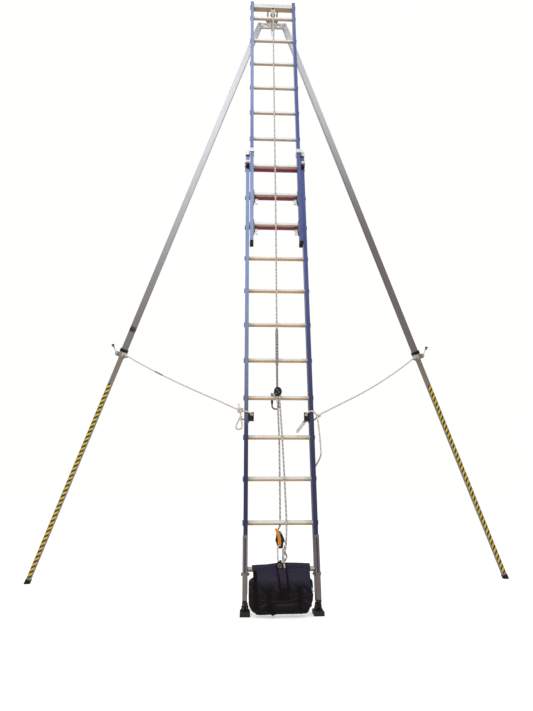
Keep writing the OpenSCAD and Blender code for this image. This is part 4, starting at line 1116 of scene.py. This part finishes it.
def flap_sheet():
    cols, rows = 76, 46
    x0, x1 = FLAP_X
    verts, faces = [], []
    pins = {}
    hang = rows - len(FLAP_TOP)
    lines = []
    for j in range(cols + 1):
        u = j / cols
        line = hang_line(x0 + (x1 - x0) * u, -0.144 - 0.013 * math.sin(math.pi * u) + 0.020 * ease(u, 0.5, 0.88))
        d = np.concatenate([[0], np.cumsum([math.dist(p, q) for p, q in zip(line, line[1:])])])
        at = np.linspace(0, d[-1], hang + 1)
        lines.append(np.stack([np.interp(at, d, [p[0] for p in line]), np.interp(at, d, [p[1] for p in line])], 1))
    lines = np.array(lines)
    drop = float(np.mean([sum(math.dist(p, q) for p, q in zip(l, l[1:])) for l in lines]))
    over = sum(math.dist(p, q) for p, q in zip(FLAP_TOP, FLAP_TOP[1:]))
    for _ in range(3):
        lines[1:-1] = (lines[:-2] + 2 * lines[1:-1] + lines[2:]) / 4
        lines[:, 1:-1] = (lines[:, :-2] + 2 * lines[:, 1:-1] + lines[:, 2:]) / 4
    for i in range(rows):
        for j in range(cols + 1):
            u = j / cols
            x = x0 + (x1 - x0) * u
            if i < len(FLAP_TOP):
                y, z = FLAP_TOP[i]
                rise = -0.0080 * (1 - ease(u, 0.0, 0.5)) + 0.0048 * math.exp(-((u - 0.60) / 0.22) ** 2) + 0.0007 * math.sin(17 * u)
                z += rise * min(1.0, max(0.0, z / 0.024)) * (i > 1)
                pins[len(verts)] = 1.0
            else:
                y, z = lines[j, i - len(FLAP_TOP) + 1]
            verts.append((x + RC.x, y + RC.y, z + RC.z))
    for i in range(rows - 1):
        for j in range(cols):
            x = x0 + (x1 - x0) * (j + 0.5) / cols
            if i < 6 and -0.018 < x < 0.011:
                continue
            a = i * (cols + 1) + j
            faces.append((a, a + cols + 1, a + cols + 2, a + 1))
    used = sorted({k for f in faces for k in f})
    new = {k: i for i, k in enumerate(used)}
    o = mesh_object("bag_flap", [verts[k] for k in used], [tuple(new[k] for k in f) for f in faces], [CLOTH], True)
    return o, {new[k]: w for k, w in pins.items() if k in new}, [new[(rows - 1) * (cols + 1) + j] for j in range(cols + 1)], drop + over


bpy.context.view_layer.update()
flap, pins, hem, flap_long = flap_sheet()
settle(flap, 24, 0.0, 0.5, 0.006, pins=pins, collide=[body], tension=22, bend=0.5, quality=8)
FLAP_FOLDS = [((-0.036, 0.222), (-0.032, 0.128), 0.0200, 0.0085), ((-0.118, 0.190), (-0.126, 0.110), 0.0100, 0.0035),
              ((0.066, 0.200), (0.058, 0.120), 0.0090, 0.0035), ((0.140, 0.195), (0.128, 0.112), 0.0100, 0.0040)]
for v in flap.data.vertices:
    q0 = v.co
    for (xa, za), (xb, zb), wide, high in FLAP_FOLDS:
        q = np.array([q0.x - xa, q0.z - za])
        d = np.array([xb - xa, zb - za])
        t = min(1.0, max(0.0, float(q @ d) / float(d @ d)))
        far = float(np.linalg.norm(q - t * d)) / wide
        v.co.y -= high * math.exp(-far * far) * (0.2 + 0.8 * t)
for v in flap.data.vertices:
    p = v.co - RC
    if p.z < -0.002:
        k = min(1, -p.z / 0.12)
        v.co.y -= 0.0013 * k * (noise3(p, 42, 2.2) + 0.6 * noise3(p, 90, 0.4)) + 0.0006
flap.data.update()
hem_line = [flap.data.vertices[i].co.copy() for i in hem]
sol = flap.modifiers.new("thick", "SOLIDIFY")
sol.thickness = 0.0018
sol.offset = 0
sub = flap.modifiers.new("sub", "SUBSURF")
sub.levels = sub.render_levels = 1
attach(flap, "base")


def skin_y(x, z):
    """The outermost cloth at a place: the flap where it hangs, else the bag."""
    hit, loc, nrm, _ = flap.ray_cast(Vector((x, RC.y - 0.4, z)), Vector((0, 1, 0)))
    if not hit:
        return front_y(x, z)
    under, loc2, nrm, _ = body.ray_cast(Vector((x, RC.y - 0.4, z)), Vector((0, 1, 0)))
    return min(loc.y, loc2.y) if under else loc.y


def strap(name, xs, zs, half, lift=0.0026, mat=STRAP, n=36):
    """A webbing strap down the bag's front between heights, following the cloth."""
    pts, across = [], []
    raw = []
    for i in range(n):
        t = i / (n - 1)
        x = xs[0] + (xs[1] - xs[0]) * t
        z = zs[0] + (zs[1] - zs[0]) * t
        raw.append((x, min(skin_y(x - half * 0.8, z), skin_y(x, z), skin_y(x + half * 0.8, z)), z))
    ys = np.array([r[1] for r in raw])
    for _ in range(3):
        ys[1:-1] = np.minimum(ys[1:-1], (ys[:-2] + ys[1:-1] + ys[2:]) / 3)
    for (x, y, z), yy in zip(raw, ys):
        pts.append(Vector((x, yy - lift, z)))
        across.append(Vector((half, 0, 0)))
    o = ribbon(name, pts, across, 0.0024, mat)
    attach(o, "base")
    return o


def tongue(name, rows, mat, lift, n=60):
    """A tapered strip down the flap's front; rows give height, middle and half width."""
    zs = np.linspace(rows[0][0], rows[-1][0], n)
    hz = [r[0] for r in rows][::-1]
    xs = np.interp(zs, hz, [r[1] for r in rows][::-1])
    hs = np.interp(zs, hz, [r[2] for r in rows][::-1])
    ys = []
    for x, z, h in zip(xs, zs, hs):
        zz = min(z, 0.262)
        ys.append(min(skin_y(x - h * 0.8, zz), skin_y(x, zz), skin_y(x + h * 0.8, zz)))
    ys = np.array(ys)
    for _ in range(3):
        ys[1:-1] = np.minimum(ys[1:-1], (ys[:-2] + ys[1:-1] + ys[2:]) / 3)
    dy, dz = np.gradient(ys), np.gradient(zs)
    run = np.hypot(dy, dz)
    pts = [Vector((x, y + lift * c / r, z - lift * b / r)) for x, y, z, b, c, r in zip(xs, ys, zs, dy, dz, run)]
    o = ribbon(name, pts, [Vector((h, 0, 0)) for h in hs], 0.0024, mat)
    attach(o, "base")
    return o


TONGUE = [(0.2821, -0.0105, 0.0040), (0.2756, -0.0080, 0.0120), (0.2682, -0.0002, 0.0267), (0.2478, 0.0005, 0.0276), (0.2030, 0.0044, 0.0275), (0.1500, 0.0085, 0.0263), (0.1020, 0.0081, 0.0240)]
tongue("bag_tongue", TONGUE, CLOTH, 0.0028)
for name, s in (("bag_tongue_edge_left", -1), ("bag_tongue_edge_right", 1)):
    tongue(name, [(z, x + s * (h - 0.0035), 0.0045) for z, x, h in TONGUE], STRAP, 0.0054)
# dark patches at its top, round the eyelet, and at its lower end
tongue("bag_tab", TONGUE[:3] + [(0.2440, 0.0006, 0.0272)], STRAP, 0.0062)
tongue("bag_tongue_end", [(0.1520, 0.0076, 0.0240), (0.1020, 0.0081, 0.0220)], STRAP, 0.0050, 30)
strap("bag_strap_left_outer", (-0.152, -0.147), (0.236, 0.042), 0.0100)
strap("bag_strap_left_inner", (-0.0765, -0.0760), (0.150, 0.034), 0.0110)
strap("bag_strap_right", (0.0950, 0.0955), (0.164, 0.036), 0.0106)

# a strap end that hangs free below the bag
tail = [Vector((-0.067, skin_y(-0.067, 0.062) - 0.0062, 0.062)), Vector((-0.064, skin_y(-0.064, 0.046) - 0.0062, 0.046)),
        Vector((-0.060, skin_y(-0.060, 0.036) - 0.006, 0.033)), Vector((-0.054, skin_y(-0.056, 0.036) - 0.005, 0.0225)), Vector((-0.0490, skin_y(-0.056, 0.036) - 0.003, 0.0165))]
tail = [Vector(p) for p in spline(tail, 0.004)]
o = ribbon("bag_strap_end", tail, [Vector((0.0095, 0.001, 0.0035))] * len(tail), 0.0022, STRAP)
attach(o, "base")

# binding along the flap's hem, and piping along the bag's bottom seam
low_line = []
for i in range(60):
    t = i / 59
    x, z = -0.145 + 0.283 * t, 0.044 - 0.005 * math.sin(math.pi * t) - 0.010 * t + 0.0016 * math.sin(9 * t + 1)
    low_line.append(Vector((x, skin_y(x, z) - 0.0012, z)))
for name, pts, r, mat in (("bag_hem", hem_line, 0.0024, HEM), ("bag_piping_low", low_line, 0.0019, PIPING)):
    p = tube(name, [tuple(v) for v in spline(pts, 0.005)], r, mat, 8)
    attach(p, "base")


def ladder_lock(name, x, z, w, mat, tilt=0.0):
    """A moulded strap adjuster: a rounded frame with a cross bar."""
    y = skin_y(x, z) - 0.0058
    outer, inner = [], []
    verts, faces = [], []
    for k, (hw, hh) in enumerate(((w, 0.013), (w - 0.0035, 0.0095))):
        for lay in (0, 1):
            for a in range(32):
                t = 2 * math.pi * a / 32
                c, sn = math.cos(t), math.sin(t)
                px = hw * math.copysign(abs(c) ** 0.45, c)
                pz = hh * math.copysign(abs(sn) ** 0.45, sn)
                verts.append((x + px * math.cos(tilt) - pz * math.sin(tilt), y + (0.0042 if lay else 0) + (0.0007 if k else 0) * (1 - lay), z + px * math.sin(tilt) + pz * math.cos(tilt)))
    o0, o1, i0, i1 = 0, 32, 64, 96
    for a in range(32):
        b = (a + 1) % 32
        faces += [(o0 + a, o0 + b, i0 + b, i0 + a), (o1 + b, o1 + a, i1 + a, i1 + b), (o0 + b, o0 + a, o1 + a, o1 + b), (i0 + a, i0 + b, i1 + b, i1 + a)]
    bar0 = len(verts)
    for sx in (-1, 1):
        for a in range(10):
            t = 2 * math.pi * a / 10
            px, pz = sx * (w - 0.002), 0.0026 * math.sin(t)
            verts.append((x + px * math.cos(tilt) - pz * math.sin(tilt), y + 0.0021 + 0.0019 * math.cos(t), z + px * math.sin(tilt) + pz * math.cos(tilt)))
    for a in range(10):
        b = (a + 1) % 10
        faces.append((bar0 + a, bar0 + b, bar0 + 10 + b, bar0 + 10 + a))
    faces += [tuple(bar0 + a for a in range(9, -1, -1)), tuple(bar0 + 10 + a for a in range(10))]
    o = mesh_object(name, verts, faces, [mat], True)
    bm = bmesh.new()
    bm.from_mesh(o.data)
    bmesh.ops.recalc_face_normals(bm, faces=bm.faces)
    bm.to_mesh(o.data)
    bm.free()
    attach(o, "base")
    return o


ladder_lock("bag_buckle_right", 0.0952, 0.152, 0.0135, BUCKLE)
ladder_lock("bag_buckle_left", -0.0765, 0.138, 0.0140, BUCKLE)
ladder_lock("bag_buckle_side", 0.1660, 0.139, 0.0060, PALE, 0.25)

# metal eyelet in the tab at the top of the tongue, with brown webbing behind it
eye_c = Vector((-0.0085, skin_y(-0.0085, 0.256) - 0.0092, 0.2601))
verts, faces = [], []
prof = [(0.0078, 0.0006), (0.0082, -0.0010), (0.0094, -0.0019), (0.0108, -0.0022), (0.0122, -0.0018), (0.0132, -0.0006), (0.0134, 0.0016), (0.0078, 0.0016)]
for rad, dy in prof:
    for j in range(40):
        a = 2 * math.pi * j / 40
        verts.append(eye_c + Vector((rad * math.cos(a), dy, rad * math.sin(a))))
for i in range(len(prof)):
    for j in range(40):
        k, q = (i + 1) % len(prof), (j + 1) % 40
        faces.append((i * 40 + j, i * 40 + q, k * 40 + q, k * 40 + j))
ring = mesh_object("bag_eyelet", verts, faces, [GROMMET], True)
bm = bmesh.new()
bm.from_mesh(ring.data)
bmesh.ops.recalc_face_normals(bm, faces=bm.faces)
bm.to_mesh(ring.data)
bm.free()
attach(ring, "base")
verts = [eye_c + Vector((rad * math.cos(math.radians(9 * j)), dy, rad * math.sin(math.radians(9 * j)))) for rad, dy in ((0.0084, 0.0002), (0.0084, 0.0018)) for j in range(40)]
faces = [tuple(range(40)), tuple(range(79, 39, -1))] + [(j, (j + 1) % 40, 40 + (j + 1) % 40, 40 + j)[::-1] for j in range(40)]
behind = mesh_object("bag_eyelet_web", verts, faces, [STROP_DARK], False)
bm = bmesh.new()
bm.from_mesh(behind.data)
bmesh.ops.recalc_face_normals(bm, faces=bm.faces)
bm.to_mesh(behind.data)
bm.free()
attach(behind, "base")

# --- floor and light ---------------------------------------------------------------
floor = mesh_object("floor", [(-60, -60, 0), (60, -60, 0), (60, 60, 0), (-60, 60, 0)], [(0, 1, 2, 3)], [], False)
fm = Mat("floor_pale", rough=0.9, spec=0.1, color=(0.86, 0.86, 0.86), Emission_Color=(1, 1, 1, 1), Emission_Strength=0.43)
fm.put("Base Color", fm.mix(fm.noise(fm.obj(), 6, 4), (0.87, 0.87, 0.87), (0.84, 0.84, 0.84)))
floor.data.materials.append(fm.m)

world = bpy.data.worlds.new("studio")
scene.world = world
world.use_nodes = True
nt = world.node_tree
bg = next(n for n in nt.nodes if n.type == "BACKGROUND")
coord = nt.nodes.new("ShaderNodeTexCoord")
sep = nt.nodes.new("ShaderNodeSeparateXYZ")
nt.links.new(coord.outputs["Generated"], sep.inputs[0])
ramp = nt.nodes.new("ShaderNodeMapRange")
ramp.inputs[1].default_value, ramp.inputs[2].default_value = 0.0, 0.85
ramp.inputs[3].default_value, ramp.inputs[4].default_value = 0.16, 0.88
nt.links.new(sep.outputs[2], ramp.inputs[0])
path = nt.nodes.new("ShaderNodeLightPath")
bg.inputs["Color"].default_value = (1.0, 0.99, 0.975, 1)
pick = nt.nodes.new("ShaderNodeMix")
pick.data_type = "FLOAT"
nt.links.new(path.outputs["Is Camera Ray"], pick.inputs[0])
nt.links.new(ramp.outputs[0], pick.inputs[2])
pick.inputs[3].default_value = 1.02
nt.links.new(pick.outputs[0], bg.inputs["Strength"])


def area_light(name, loc, target, size, power, color=(1, 1, 1)):
    d = bpy.data.lights.new(name, "AREA")
    d.shape = "RECTANGLE"
    d.size, d.size_y = size
    d.energy = power
    d.color = color
    o = bpy.data.objects.new(name, d)
    scene.collection.objects.link(o)
    o.location = loc
    o.rotation_euler = (Vector(target) - Vector(loc)).to_track_quat("-Z", "Y").to_euler()
    return o


area_light("key", (-0.98, -3.6, 4.1), (-0.05, -0.3, 2.1), (2.2, 3.6), 80, (0.95, 0.98, 1.0))
area_light("top", (-1.0, -2.6, 7.2), (0, -0.3, 3.8), (2.4, 2.2), 42, (0.96, 0.98, 1.0))
area_light("rear", (2.6, 5.0, 4.2), (0, 0, 2.0), (3.0, 3.0), 40)
